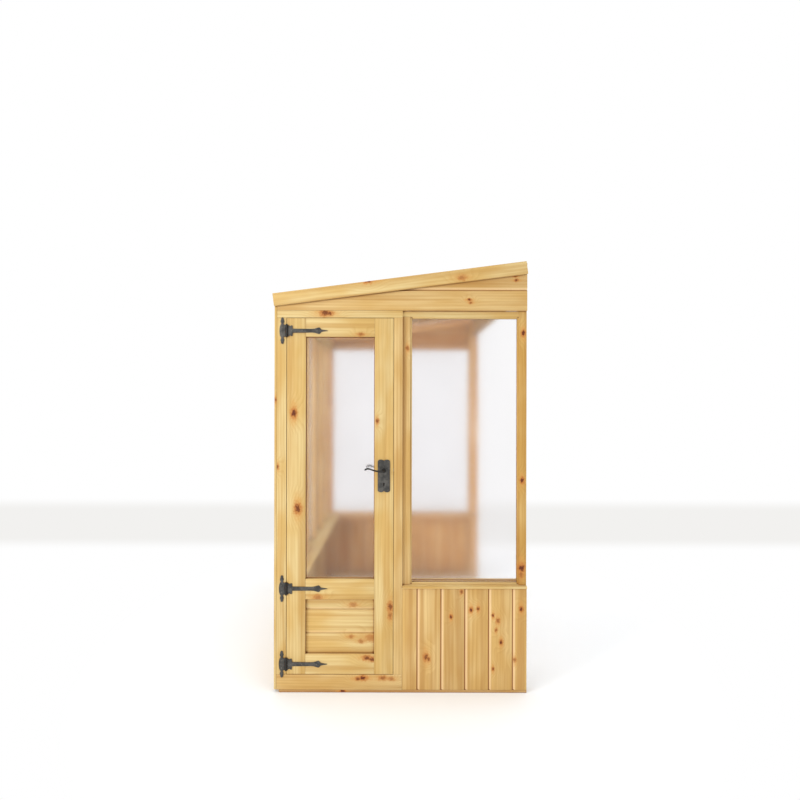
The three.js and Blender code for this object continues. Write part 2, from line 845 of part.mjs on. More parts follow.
// One cheek of the bracket in which the stay turns.
function stayCheek([y0, y1]) {
  const railFace = ventLowEdge + ventSashRail - jointRoot;
  const level = (x, height) => [x, roofHeight(x, height)];
  const outline = [
    level(railFace, ventFoot + cheekFoot),
    level(stayPivotX - stayEyeRadius, ventFoot + cheekFoot),
    level(stayPivotX - stayEyeRadius, stayPivotLevel - stayEyeRadius),
    level(stayPivotX + stayEyeRadius, stayPivotLevel - stayEyeRadius),
    level(stayPivotX + stayEyeRadius, ventFoot + cheekTop),
    level(railFace, ventFoot + cheekTop),
  ];
  return alongY(shapeOf(outline), y0, y1);
}

// Opening sash, grooved for its glass, with its hinge leaf and the stay's bracket.
function ventSash() {
  const inner = ventHalf - ventSashRail;
  const [x0, x1] = [ventLowEdge + ventSashRail, ventHighEdge - ventSashRail];
  const groove = leafGrooveDepth + seatGap;
  const ring = without(
    roofSlab([ventLowEdge, ventHighEdge], [ventFoot, ventTop], [-ventHalf, ventHalf]),
    roofSlab([x0, x1], [ventFoot - overrun, ventTop + overrun], [-inner, inner]),
    roofSlab(
      [x0 - groove, x1 + groove],
      [ventGlassFoot - seatGap, ventGlassFoot + glassThickness + seatGap],
      [-inner - groove, inner + groove],
    ),
  );
  const half = ventHingeLength / 2;
  const leaf = roofSlab(
    [ventAxisX - ventSashLeaf, ventAxisX - ventLeafInset],
    [ventTop - jointRoot, ventLeafLevels[1]],
    [-half, half],
  );
  const boreRadius = ventPinRadius + pinClearance;
  const bore = cylinder(boreRadius, ventHingeLength + overrun, axisY, ventAxis, knuckleSides);
  const cheek = stayWidth / 2 + pinClearance;
  const cheeks = [-1, 1].map((side) => stayCheek(onSide(side, cheek, cheek + bracketThickness)));
  const pin = cylinder(stayPinRadius, (cheek + bracketThickness / 2) * 2, axisY, stayPivot, pinSides);
  return joined(without(joined(ring, leaf, ventKnuckleSolids(1, -1)), bore), cheeks, pin);
}

function ventPane() {
  const inner = ventHalf - ventSashRail + leafGrooveDepth;
  return roofSlab(
    [ventLowEdge + ventSashRail - leafGrooveDepth, ventHighEdge - ventSashRail + leafGrooveDepth],
    [ventGlassFoot, ventGlassFoot + glassThickness],
    [-inner, inner],
  );
}

// Bar with holes that drops on to the peg and holds the vent open.
function ventStay() {
  const half = stayWidth / 2;
  const length = stayReach + stayTail;
  const shape = new THREE.Shape();
  shape.moveTo(0, -half);
  shape.lineTo(length - half, -half);
  shape.absarc(length - half, 0, half, -Math.PI / 2, Math.PI / 2);
  shape.lineTo(0, half);
  for (let hole = 0; hole < stayHoles; hole += 1) {
    const path = new THREE.Path();
    path.absarc(stayReach - hole * stayHoleSpacing, 0, stayHoleRadius, 0, Math.PI * 2);
    shape.holes.push(path);
  }
  const bar = extruded(shape, stayThickness, 4).translate(0, 0, -stayThickness / 2);
  const placed = solidFrom(bar.rotateY(-pitch).translate(...stayPivot));
  const eye = cylinder(stayEyeRadius, stayWidth, axisY, stayPivot, knuckleSides);
  const bore = cylinder(stayPinRadius + pinClearance, stayWidth + overrun, axisY, stayPivot, knuckleSides);
  return without(joined(placed, eye), bore);
}

// Door leaf

const leafMiddle = (leafFront + leafBack) / 2;
const leafInnerLeft = leafLeft + leafStileWidth;
const leafInnerRight = leafRight - leafStileWidth;
const topRailFoot = leafTop - leafTopRail;
const midRailFoot = leafMidRailTop - leafMidRail;
const bottomRailTop = leafFoot + leafBottomRail;
const panelJointHeight = bottomRailTop + panelJointRise;
const panelFront = leafFront + panelSetback;
const leverX = leafRight - leverBackset;

const leafPaneLow = [
  leafInnerLeft - leafGrooveDepth,
  leafMiddle - glassThickness / 2,
  leafMidRailTop - leafGrooveDepth,
];
const leafPaneHigh = [
  leafInnerRight + leafGrooveDepth,
  leafMiddle + glassThickness / 2,
  topRailFoot + leafGrooveDepth,
];
const panelLow = [leafInnerLeft - leafGrooveDepth, panelFront, bottomRailTop - leafGrooveDepth];
const panelHigh = [
  leafInnerRight + leafGrooveDepth,
  panelFront + panelThickness,
  midRailFoot + leafGrooveDepth,
];

function leafTimber([x0, x1], [z0, z1]) {
  const timber = box([x0, leafFront, z0], [x1, leafBack, z1]);
  return without(timber, clearanceBox(leafPaneLow, leafPaneHigh), clearanceBox(panelLow, panelHigh));
}

function leafRail(span) {
  return leafTimber([leafInnerLeft + seatGap, leafInnerRight - seatGap], span);
}

function leafPanel() {
  const [x0, y0, z0] = panelLow;
  const [x1, y1, z1] = panelHigh;
  return alongX(shapeOf(swapped(boardSection([z0, z1], panelJointHeight, 1, y0, y1))), x0, x1);
}

// Lock and lever handles

const lockCaseBack = leafRight - forendThickness - lockCaseDepth;
const lockCaseMiddle = lockCaseFoot + lockCaseHeight / 2;
const spindleHole = (spindleSide / 2) * Math.SQRT2 + spindleClearance;

// The room that a bolt slides in, between two places along X.
function boltSpace(height, thickness, z, run) {
  return bolt(height + boltClearance * 2, thickness + boltClearance * 2, z, run);
}

function bolt(height, thickness, z, [x0, x1]) {
  const [y0, y1] = [leafMiddle - thickness / 2, leafMiddle + thickness / 2];
  return box([x0, y0, z - height / 2], [x1, y1, z + height / 2]);
}

// Latch with the slanted nose that rides over the jamb as the door closes.
function latchBolt() {
  const tip = leafRight + latchReach;
  const outline = [
    [tip - latchLength, leafMiddle - latchThickness / 2],
    [tip, leafMiddle - latchThickness / 2],
    [tip - latchReach, leafMiddle + latchThickness / 2],
    [tip - latchLength, leafMiddle + latchThickness / 2],
  ];
  return alongZ(shapeOf(outline), leverHeight - latchHeight / 2, leverHeight + latchHeight / 2);
}

// Keyhole cut through along Y: a round hole over a slot.
function keyhole() {
  const middle = [leverX, leafMiddle, keyholeHeight];
  const round = cylinder(keyholeRadius, shedLength, axisY, middle, knuckleSides);
  const slot = box(
    [leverX - keyholeSlotWidth / 2, leafMiddle - shedLength / 2, keyholeHeight - keyholeSlotLength],
    [leverX + keyholeSlotWidth / 2, leafMiddle + shedLength / 2, keyholeHeight],
  );
  return joined(round, slot);
}

function spindleBore() {
  return cylinder(spindleHole, shedLength, axisY, [leverX, leafMiddle, leverHeight]);
}

function lockStile() {
  const { caseLow, caseHigh, forendLow, forendHigh } = lockOutline();
  const stile = leafTimber([leafInnerRight, leafRight], [leafFoot, leafTop]);
  const past = ([x, y, z]) => [x + overrun, y, z];
  return without(
    stile,
    clearanceBox(caseLow, past(caseHigh)),
    clearanceBox(forendLow, past(forendHigh)),
    spindleBore(),
    keyhole(),
  );
}

function lockOutline() {
  const forendBack = leafRight - forendThickness;
  const halfForend = forendHeight / 2;
  return {
    caseLow: [lockCaseBack, leafMiddle - lockCaseThickness / 2, lockCaseFoot],
    caseHigh: [forendBack, leafMiddle + lockCaseThickness / 2, lockCaseFoot + lockCaseHeight],
    forendLow: [forendBack, leafMiddle - forendWidth / 2, lockCaseMiddle - halfForend],
    forendHigh: [leafRight, leafMiddle + forendWidth / 2, lockCaseMiddle + halfForend],
  };
}

function lockCase() {
  const { caseLow, caseHigh, forendLow, forendHigh } = lockOutline();
  const mouth = leafRight + overrun;
  const latchTail = leafRight - latchLength - boltClearance;
  const deadBoltTail = leafRight - deadBoltLength - boltClearance;
  return without(
    joined(box(caseLow, caseHigh), box(forendLow, forendHigh)),
    boltSpace(latchHeight, latchThickness, leverHeight, [latchTail, mouth]),
    boltSpace(deadBoltHeight, deadBoltThickness, keyholeHeight, [deadBoltTail, mouth]),
    spindleBore(),
    keyhole(),
  );
}

// Handle plate with two shallow lobes at its head and at its foot.
function handlePlate([y0, y1]) {
  const half = handlePlateWidth / 4;
  const spread = Math.asin(half / handlePlateLobeRadius);
  const foot = handlePlateFoot + handlePlateLobeRadius;
  const top = handlePlateFoot + handlePlateHeight - handlePlateLobeRadius;
  const shape = new THREE.Shape();
  const lobe = (x, z, middle) => {
    shape.absarc(x, z, handlePlateLobeRadius, middle - spread, middle + spread);
  };
  lobe(leverX - half, foot, -Math.PI / 2);
  lobe(leverX + half, foot, -Math.PI / 2);
  lobe(leverX + half, top, Math.PI / 2);
  lobe(leverX - half, top, Math.PI / 2);
  shape.closePath();
  return without(alongY(shape, y0, y1), spindleBore(), keyhole());
}

// A round bar along a curve, with its own radius at each place and both ends closed.
function taperedBar(curve, radiusAt, steps, sides) {
  const { normals, binormals } = curve.computeFrenetFrames(steps, false);
  const points = [];
  const faces = [];
  for (let step = 0; step <= steps; step += 1) {
    const share = step / steps;
    const middle = curve.getPointAt(share);
    for (let side = 0; side < sides; side += 1) {
      const angle = (side / sides) * Math.PI * 2;
      const out = normals[step].clone().multiplyScalar(Math.cos(angle));
      out.addScaledVector(binormals[step], Math.sin(angle));
      points.push(middle.clone().addScaledVector(out, radiusAt(share)));
    }
  }
  const ringOf = (step, side) => step * sides + (side % sides);
  for (let step = 0; step < steps; step += 1) {
    for (let side = 0; side < sides; side += 1) {
      const [a, b] = [ringOf(step, side), ringOf(step, side + 1)];
      const [c, d] = [ringOf(step + 1, side + 1), ringOf(step + 1, side)];
      faces.push(a, b, d, b, c, d);
    }
  }
  for (let side = 1; side < sides - 1; side += 1) {
    faces.push(ringOf(0, 0), ringOf(0, side + 1), ringOf(0, side));
    faces.push(ringOf(steps, 0), ringOf(steps, side), ringOf(steps, side + 1));
  }
  const geometry = new THREE.BufferGeometry().setFromPoints(points);
  geometry.setIndex(faces);
  return solidFrom(geometry);
}

// Route of a lever from its hub, in shares of its length to the side, its stand-off and its rise.
const leverRouteShares = [
  [0, 0.1, 0],
  [0, 0.55, 0],
  [0.05, 0.88, -0.02],
  [0.18, 1, -0.04],
  [0.45, 1, 0.22],
  [0.68, 1, 0.75],
  [0.83, 1, 1],
  [0.93, 1, 0.78],
  [1, 1, 0.4],
];
const leverTipShare = 0.93;
const leverWaistShare = 0.7; // of the bar's own length

// Lever on one side of the door: outward is -1 in front of the leaf and 1 behind it.
function leverArm(outward) {
  const face = leverPlateFace(outward) + outward * seatGap;
  const route = leverRouteShares.map(
    ([along, out, rise]) =>
      new THREE.Vector3(
        leverX - along * leverLength,
        face + outward * out * leverStandoff,
        leverHeight + rise * leverRise,
      ),
  );
  const radiusAt = (share) => {
    const past = Math.max(0, (share - leverTipShare) / (1 - leverTipShare));
    const { mapLinear } = THREE.MathUtils;
    const taper =
      share < leverWaistShare
        ? mapLinear(share, 0, leverWaistShare, leverRadius, leverWaistRadius)
        : mapLinear(share, leverWaistShare, 1, leverWaistRadius, leverTipRadius);
    return taper * Math.sqrt(1 - past * past * leverTipRounding);
  };
  const arm = taperedBar(new THREE.CatmullRomCurve3(route, false, "centripetal"), radiusAt, 26, 12);
  const hubMiddle = [leverX, face + (outward * leverHubLength) / 2, leverHeight];
  return joined(arm, cylinder(leverHubRadius, leverHubLength, axisY, hubMiddle));
}

function leverPlateFace(outward) {
  const leafFace = outward < 0 ? leafFront : leafBack;
  return leafFace + outward * (seatGap + handlePlateThickness);
}

// Both levers with the square spindle that joins them.
function doorLever() {
  const half = spindleSide / 2;
  const spindle = box(
    [leverX - half, leverPlateFace(-1) - leverHubLength / 2, leverHeight - half],
    [leverX + half, leverPlateFace(1) + leverHubLength / 2, leverHeight + half],
  );
  return joined(spindle, leverArm(-1), leverArm(1));
}

// Hinges of the door, drawn about the middle of the pin with the timber behind them

const knuckleBack = knuckleRadius;
const metalFront = knuckleBack - hingeMetalThickness;
const leafKnuckleHalf = middleKnuckleHeight / 2;
const leafEdgeClear = knuckleRadius + boltClearance;

// Half the outline of the fixed plate: shares of its half height and of its half width.
const platePointShares = [
  [0.08, 1],
  [0.2, 0.95],
  [0.32, 0.85],
  [0.44, 0.66],
  [0.49, 0.42],
  [0.55, 0.38],
  [0.62, 0.54],
  [0.7, 0.68],
  [0.77, 0.6],
  [0.83, 0.44],
  [0.89, 0.47],
  [0.95, 0.38],
  [1, 0.12],
];

// Half the outline of the strap: shares of its reach and of half the knuckle's height.
const strapPointShares = [
  [0.038, 1],
  [0.05, 0.87],
  [0.075, 0.8],
  [0.095, 0.83],
  [0.118, 0.93],
  [0.14, 0.87],
  [0.143, 0.34],
  [0.6, 0.31],
  [0.67, 0.34],
  [0.74, 0.48],
  [0.787, 0.57],
  [0.818, 0.42],
  [0.838, 0.2],
  [0.87, 0.16],
  [1, 0.02],
];

function hingePlate() {
  const [halfWidth, halfHeight] = [hingePlateWidth / 2, hingePlateHeight / 2];
  const corner = platePointShares.map(([up, out]) => [out * halfWidth, up * halfHeight]);
  const right = [...corner.map(([x, z]) => [x, -z]).reverse(), ...corner];
  const left = right.map(([x, z]) => [-x, z]).reverse();
  const outline = [...right, ...left].map(([x, z]) => [x - hingePlateReach, z]);
  const plate = alongY(shapeOf(outline), metalFront, knuckleBack);
  const from = leafKnuckleHalf + seatGap;
  const half = knuckleHeight / 2;
  const knuckles = [-1, 1].flatMap((side) => {
    const [z0, z1] = onSide(side, from, half);
    return [
      cylinder(knuckleRadius, half - from, axisZ, [0, 0, (z0 + z1) / 2], knuckleSides),
      box([-hingePlateReach, metalFront, z0], [0, knuckleBack, z1]),
    ];
  });
  return joined(plate, knuckles, cylinder(pinRadius, knuckleHeight, axisZ, [0, 0, 0], pinSides));
}

function hingeStrap() {
  const half = knuckleHeight / 2;
  const upper = strapPointShares.map(([along, up]) => [along * strapReach, up * half]);
  const start = [leafEdgeClear, upper[0][1]];
  const outline = [start, ...upper];
  const mirrored = outline.map(([x, z]) => [x, -z]).reverse();
  const strap = alongY(shapeOf([...outline, ...mirrored]), metalFront, knuckleBack);
  const knuckle = cylinder(knuckleRadius, middleKnuckleHeight, axisZ, [0, 0, 0], knuckleSides);
  const tongue = box(
    [0, metalFront, -leafKnuckleHalf],
    [leafEdgeClear + jointRoot, knuckleBack, leafKnuckleHalf],
  );
  const bore = cylinder(pinRadius + pinClearance, knuckleHeight, axisZ, [0, 0, 0], knuckleSides);
  return without(joined(strap, knuckle, tongue), bore);
}

// Assembly

function gathered(name, meshes) {
  const group = new THREE.Group();
  group.name = name;
  group.add(...meshes);
  return group;
}

function placed(mesh, [x, y, z]) {
  mesh.position.set(x, y, z);
  return mesh;
}

function nearGable() {
  return gathered("near_gable", [
    piece("door_threshold", doorThreshold(), pine),
    piece("door_jamb_hinge", hingeJamb(), pine),
    piece("near_mid_post", nearMidPost(), pine),
    piece("near_head_rail", nearHeadRail(), pine),
    piece("near_window_sill", nearSill(), pine),
    piece(
      "near_corner_post",
      joined(gablePost(-1, [nearHouseStile, houseFace]), gablePostBeads(-1, nearHouseStile, -1, beadRise)),
      pine,
    ),
    piece("near_glass", gablePane(-1, [midPostRight, nearHouseStile]), glass),
    piece("near_cladding", gableBoards(-1, [lockJambRight + seatGap, houseFace], nearFirstJoint), pine),
    piece("near_gable_header", gableHeader(-1), pine),
    piece("near_bargeboard", bargeboard(-1), pine),
  ]);
}

function farGable() {
  const housePost = joined(
    gablePost(1, [farHouseStile, houseFace]),
    gablePostBeads(1, farHouseStile, -1, beadRise),
  );
  return gathered("far_gable", [
    piece("far_low_post", farLowPost(), pine),
    piece("far_house_post", housePost, pine),
    piece("far_head_rail", farHeadRail(), pineShade),
    piece("far_window_sill", farSill(), pine),
    piece("far_cladding", gableBoards(1, [lowFace, houseFace], firstJointOf(lowFace, 0)), pine),
    piece("far_gable_header", gableHeader(1), pine),
    piece("far_bargeboard", bargeboard(1), pine),
    piece("far_glass_low", gablePane(1, [lowFrameBack, mullionLeft]), glass),
    piece("far_glass_house", gablePane(1, [mullionRight, farHouseStile]), glass),
  ]);
}

function lowWall() {
  const bayNames = ["near", "middle", "far"];
  return gathered("low_wall", [
    piece("low_post_near", lowPost([-outerRafter, -innerRafter]), pineShade),
    piece("low_post_far", lowPost([innerRafter, outerRafter]), pineShade),
    piece("low_window_sill", lowSill(), pine),
    piece("eaves_beam", eavesBeam(), pine),
    piece("low_cladding", lowBoards(), pine),
    piece("corner_trim_near", cornerTrim(-1), pine),
    piece("corner_trim_far", cornerTrim(1), pine),
    ...lowBays.map((bay, index) => piece(`low_glass_${bayNames[index]}`, lowPane(bay), glass)),
  ]);
}

function roof() {
  const lowEdge = lowReach + eavesGlassInset;
  const outerBay = [outerRafter - roofRebateWidth, gableFrameBack + roofRebateWidth];
  const innerBay = [-innerRafter - roofRebateWidth, innerRafter + roofRebateWidth];
  const farBay = onSide(1, ...outerBay);
  const nearBay = onSide(-1, ...outerBay);
  return gathered("roof", [
    piece("ridge_plate", ridgePlate(), pine),
    piece("roof_rafter_near", roofRafter(-1), pineShade),
    piece("roof_rafter_far", roofRafter(1), pineShade),
    piece("vent_trimmer", ventTrimmer(), pineShade),
    piece("roof_glass_near", roofPane([lowEdge, ridgeFace], nearBay), glass),
    piece("roof_glass_middle", roofPane([lowEdge, trimmerFace + roofRebateWidth], innerBay), glass),
    piece("roof_glass_far", roofPane([lowEdge, ridgeFace], farBay), glass),
    piece("vent_hinge", ventHinge(), iron),
    gathered("vent", [
      piece("vent_sash", ventSash(), pine),
      piece("vent_glass", ventPane(), glass),
      piece("vent_stay", ventStay(), iron),
    ]),
  ]);
}

const hingeHeights = {
  top: leafTop - topHingeDrop,
  middle: leafMidRailTop - middleHingeDrop,
  bottom: leafFoot + bottomHingeRise,
};

function door() {
  const pinX = (hingeJambRight + leafLeft) / 2;
  const pinY = leafFront - seatGap - knuckleRadius;
  const hinges = Object.entries(hingeHeights).flatMap(([name, height]) => [
    placed(piece(`hinge_plate_${name}`, hingePlate(), iron), [pinX, pinY, height]),
    placed(piece(`hinge_strap_${name}`, hingeStrap(), iron), [pinX, pinY, height]),
  ]);
  const outerFace = leafFront - seatGap;
  const innerFace = leafBack + seatGap;
  const deadBoltTip = leafRight;
  return gathered("door", [
    piece("door_hinge_stile", leafTimber([leafLeft, leafInnerLeft], [leafFoot, leafTop]), pine),
    piece("door_lock_stile", lockStile(), pine),
    piece("door_top_rail", leafRail([topRailFoot, leafTop]), pine),
    piece("door_mid_rail", leafRail([midRailFoot, leafMidRailTop]), pine),
    piece("door_bottom_rail", leafRail([leafFoot, bottomRailTop]), pine),
    piece("door_glass", box(leafPaneLow, leafPaneHigh), glass),
    piece("door_panel", leafPanel(), pine),
    piece("handle_plate_outer", handlePlate([outerFace - handlePlateThickness, outerFace]), iron),
    piece("handle_plate_inner", handlePlate([innerFace, innerFace + handlePlateThickness]), iron),
    piece("lock_case", lockCase(), steel),
    piece("door_lever", doorLever(), iron),
    piece("latch_bolt", latchBolt(), steel),
    piece(
      "dead_bolt",
      bolt(deadBoltHeight, deadBoltThickness, keyholeHeight, [deadBoltTip - deadBoltLength, deadBoltTip]),
      steel,
    ),
    ...hinges,
  ]);
}

const greenhouse = gathered("lean_to_greenhouse", [
  piece("base_frame", baseFrame(), pineShade),
  nearGable(),
  farGable(),
  lowWall(),
  roof(),
  door(),
]);

// The origin is the middle of the greenhouse's footprint on the ground.
const reach = new THREE.Box3().setFromObject(greenhouse);
const middle = reach.getCenter(new THREE.Vector3());
greenhouse.position.set(-middle.x, -middle.y, -reach.min.z);

export default greenhouse;
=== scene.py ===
"""Looks of a timber lean-to greenhouse: planed pine, frosted glass, antique black iron and a steel lock.

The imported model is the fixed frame. Every timber is a softened copy of its node, with its own grain and
knots. What is too slim for the frame is modelled here: glazing bars, mastic, screws, pin heads, lever
collars and the strike.
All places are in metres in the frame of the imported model: X runs to the house, Y to the far gable, Z up.
"""

import logging
import math
from dataclasses import dataclass
from enum import Enum
from typing import Callable, Iterable, Sequence

import bpy
from mathutils import Euler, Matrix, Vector
from mathutils.bvhtree import BVHTree


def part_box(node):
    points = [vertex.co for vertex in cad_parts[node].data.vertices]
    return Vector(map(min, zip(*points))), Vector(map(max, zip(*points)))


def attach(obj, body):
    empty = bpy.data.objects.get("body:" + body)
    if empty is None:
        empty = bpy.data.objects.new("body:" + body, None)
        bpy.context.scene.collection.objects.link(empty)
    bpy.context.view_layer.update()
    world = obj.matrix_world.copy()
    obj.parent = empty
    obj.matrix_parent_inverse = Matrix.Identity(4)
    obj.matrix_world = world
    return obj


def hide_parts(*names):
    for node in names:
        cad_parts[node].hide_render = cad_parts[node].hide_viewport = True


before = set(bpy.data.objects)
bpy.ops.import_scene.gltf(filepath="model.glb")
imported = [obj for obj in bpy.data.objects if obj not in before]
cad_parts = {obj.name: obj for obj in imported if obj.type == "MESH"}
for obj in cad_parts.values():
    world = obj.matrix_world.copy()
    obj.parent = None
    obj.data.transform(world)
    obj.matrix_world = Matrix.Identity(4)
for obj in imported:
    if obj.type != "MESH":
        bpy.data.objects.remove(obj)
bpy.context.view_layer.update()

log = logging.getLogger("greenhouse")

Socket = bpy.types.NodeSocket
Piece = bpy.types.Object
Point = tuple[float, float, float]
Colour = tuple[float, float, float, float]

MM = 0.001
# How near a point has to lie to count as on a plane
TOUCH = 0.1 * MM
# Least share of a normal along a direction for its face to count as looking that way
FACING = 0.9
# Turn that lays the axis of a primitive along Y
PIN_ALONG_Y = (math.pi / 2, 0.0, 0.0)
# How near two corners lie to be merged, and how flat two triangles lie to become one face
MERGE_WITHIN = 0.02 * MM
FLAT_WITHIN = math.radians(0.4)
# Angles in degrees past which an edge counts as sharp: where it is rounded, and where its shading breaks
ROUNDED_PAST = 30
CREASE_OF_EASED = 38
CREASE_OF_SMALL = 35
CREASE_OF_LEVER = 40
CREASE_OF_DISC = 30

# Sizes of the frame that the figure of the wood lines up with
ROOF_PITCH = math.radians(7.35)
BOARD_PITCH = 0.1145
# Widths of the bevels of a joint: painted shade goes on the shaded one, painted highlight on the lit one
SHADED_BEVEL = 0.006
LIT_BEVEL = 0.010
# Step along the fibres from one board's figure to the next one's
BOARD_STRIDE = 1.93
# Radius of a knot's masks, as a share of the knot's own, because a ragged edge eats into them
KNOT_SPREAD = 1.45
# Depth of the fine relief that the Bump nodes show
RELIEF = 0.0004

# Type of a node group's socket that carries a number
VALUE = "NodeSocketFloat"


def srgb(red: int, green: int, blue: int) -> Colour:
    """Linear colour of a colour that is named as it looks on a screen.

    Args:
        red: Red from 0 to 255.
        green: Green from 0 to 255.
        blue: Blue from 0 to 255.

    Returns:
        The linear colour with full alpha.
    """
    shares = [channel / 255 for channel in (red, green, blue)]
    linear = [s / 12.92 if s <= 0.04045 else ((s + 0.055) / 1.055) ** 2.4 for s in shares]
    return (linear[0], linear[1], linear[2], 1.0)


# Node trees


@dataclass
class Graph:
    """A node tree that is written as a chain of calls, each of which gives an output socket.

    Attributes:
        tree: The node tree that the calls add to.
    """

    tree: bpy.types.NodeTree

    def node(
        self, kind: str, inputs: dict[object, object] | None = None, **settings: object
    ) -> bpy.types.Node:
        """Adds a node.

        Args:
            kind: The node's type name.
            inputs: Values or output sockets by input name or number.
            settings: Properties of the node itself.

        Returns:
            The new node.
        """
        made = self.tree.nodes.new(kind)
        for name, value in settings.items():
            setattr(made, name, value)
        for name, value in (inputs or {}).items():
            self.feed(made.inputs[name], value)
        return made

    def feed(self, socket: Socket, value: object) -> None:
        """Links an output to a socket, or sets the socket's own value.

        Args:
            socket: The input socket.
            value: An output socket to link, or a value to set.
        """
        if isinstance(value, bpy.types.NodeSocket):
            self.tree.links.new(value, socket)
        else:
            socket.default_value = value

    def calc(self, kind: str, *values: object, clamp: bool = False) -> Socket:
        """Result of a Math node of the given operation."""
        inputs = dict(enumerate(values))
        return self.node("ShaderNodeMath", inputs, operation=kind, use_clamp=clamp).outputs[0]

    def vector(self, kind: str, *values: object) -> Socket:
        """Vector result of a Vector Math node of the given operation."""
        return self.node("ShaderNodeVectorMath", dict(enumerate(values)), operation=kind).outputs[0]

    def dot(self, first: object, second: object) -> Socket:
        """Dot product of two vectors."""
        inputs = {0: first, 1: second}
        return self.node("ShaderNodeVectorMath", inputs, operation="DOT_PRODUCT").outputs["Value"]

    def place(self) -> Socket:
        """Place on the piece, in its own coordinates."""
        return self.node("ShaderNodeTexCoord").outputs["Object"]

    def length(self, value: object) -> Socket:
        """Length of a vector."""
        return self.node("ShaderNodeVectorMath", {0: value}, operation="LENGTH").outputs["Value"]

    def ramp(
        self, value: object, low: float, high: float, to_low: float = 0.0, to_high: float = 1.0
    ) -> Socket:
        """Value mapped smoothly from one span to another and held at its ends.

        Args:
            value: The value.
            low: Start of its span.
            high: End of its span.
            to_low: What the start becomes.
            to_high: What the end becomes.

        Returns:
            The mapped value.
        """
        inputs = {
            "Value": value, "From Min": low, "From Max": high, "To Min": to_low, "To Max": to_high
        }
        return self.node("ShaderNodeMapRange", inputs, interpolation_type="SMOOTHSTEP").outputs["Result"]

    def noise(self, vector: object, scale: float, detail: float = 2.0, roughness: float = 0.5) -> Socket:
        """Value of a noise texture, about 0.5 on average."""
        inputs = {"Vector": vector, "Scale": scale, "Detail": detail, "Roughness": roughness}
        return self.node("ShaderNodeTexNoise", inputs).outputs[0]

    def blend(self, share: object, first: object, second: object, kind: str = "MIX") -> Socket:
        """Colour between two colours.

        Args:
            share: Share of the second colour, from 0 to 1.
            first: The colour at 0.
            second: The colour at 1.
            kind: Way in which the second is laid over the first.

        Returns:
            The mixed colour.
        """
        mixer = self.node("ShaderNodeMix", data_type="RGBA", blend_type=kind)
        self.feed(mixer.inputs[0], share)
        self.feed(mixer.inputs[6], first)
        self.feed(mixer.inputs[7], second)
        return mixer.outputs[2]

    def coat(self, surface: bpy.types.Node, colour: Socket, roughness: Socket) -> None:
        """Gives a Principled BSDF its colour and its roughness.

        Args:
            surface: The Principled BSDF.
            colour: Its colour.
            roughness: Its roughness.
        """
        self.feed(surface.inputs["Base Color"], colour)
        self.feed(surface.inputs["Roughness"], roughness)

    def emboss(
        self, surface: bpy.types.Node, height: Socket, strength: float, depth: float = RELIEF
    ) -> None:
        """Gives a Principled BSDF fine relief.

        Args:
            surface: The Principled BSDF.
            height: Height of the relief.
            strength: How strongly the relief shows, from 0 to 1.
            depth: Depth of the relief.
        """
        bump = self.node("ShaderNodeBump", {"Strength": strength, "Distance": depth, "Height": height})
        self.feed(surface.inputs["Normal"], bump.outputs[0])

    def show_instead(self, share: Socket, surface: bpy.types.Node, other: bpy.types.Node) -> None:
        """Shows another shader in place of the Principled BSDF.

        Args:
            share: Share of the other shader, from 0 to 1.
            surface: The Principled BSDF.
            other: The other shader.
        """
        either = self.node("ShaderNodeMixShader", {0: share})
        self.feed(either.inputs[1], surface.outputs["BSDF"])
        self.feed(either.inputs[2], other.outputs[0])
        self.feed(self.tree.nodes["Material Output"].inputs["Surface"], either.outputs[0])

    def group(self, tree: bpy.types.NodeTree, **inputs: object) -> bpy.types.Node:
        """Places a node group.

        Args:
            tree: The group's tree.
            inputs: Values or outputs by input name, where an underscore stands for a space.

        Returns:
            The group's node.
        """
        made = self.node("ShaderNodeGroup", node_tree=tree)
        for name, value in inputs.items():
            self.feed(made.inputs[name.replace("_", " ")], value)
        return made


def new_group(
    name: str, inputs: dict[str, object], outputs: dict[str, str]
) -> tuple[Graph, bpy.types.Node, bpy.types.Node]:
    """Starts a shader node group.

    Args:
        name: The group's name.
        inputs: Default value by socket name. A float makes a value socket and a tuple a vector socket.
        outputs: Socket type by output name.

    Returns:
        The group's graph, its input node and its output node.
    """
    tree = bpy.data.node_groups.new(name, "ShaderNodeTree")
    for label, value in inputs.items():
        kind = VALUE if isinstance(value, float) else "NodeSocketVector"
        socket = tree.interface.new_socket(name=label, in_out="INPUT", socket_type=kind)
        socket.default_value = value
    for label, kind in outputs.items():
        tree.interface.new_socket(name=label, in_out="OUTPUT", socket_type=kind)
    return Graph(tree), tree.nodes.new("NodeGroupInput"), tree.nodes.new("NodeGroupOutput")


def new_material(name: str) -> tuple[bpy.types.Material, Graph, bpy.types.Node]:
    """Starts a node material.

    Args:
        name: The material's name.

    Returns:
        The material, its graph and its Principled BSDF.
    """
    material = bpy.data.materials.new(name)
    material.use_nodes = True
    return material, Graph(material.node_tree), material.node_tree.nodes["Principled BSDF"]


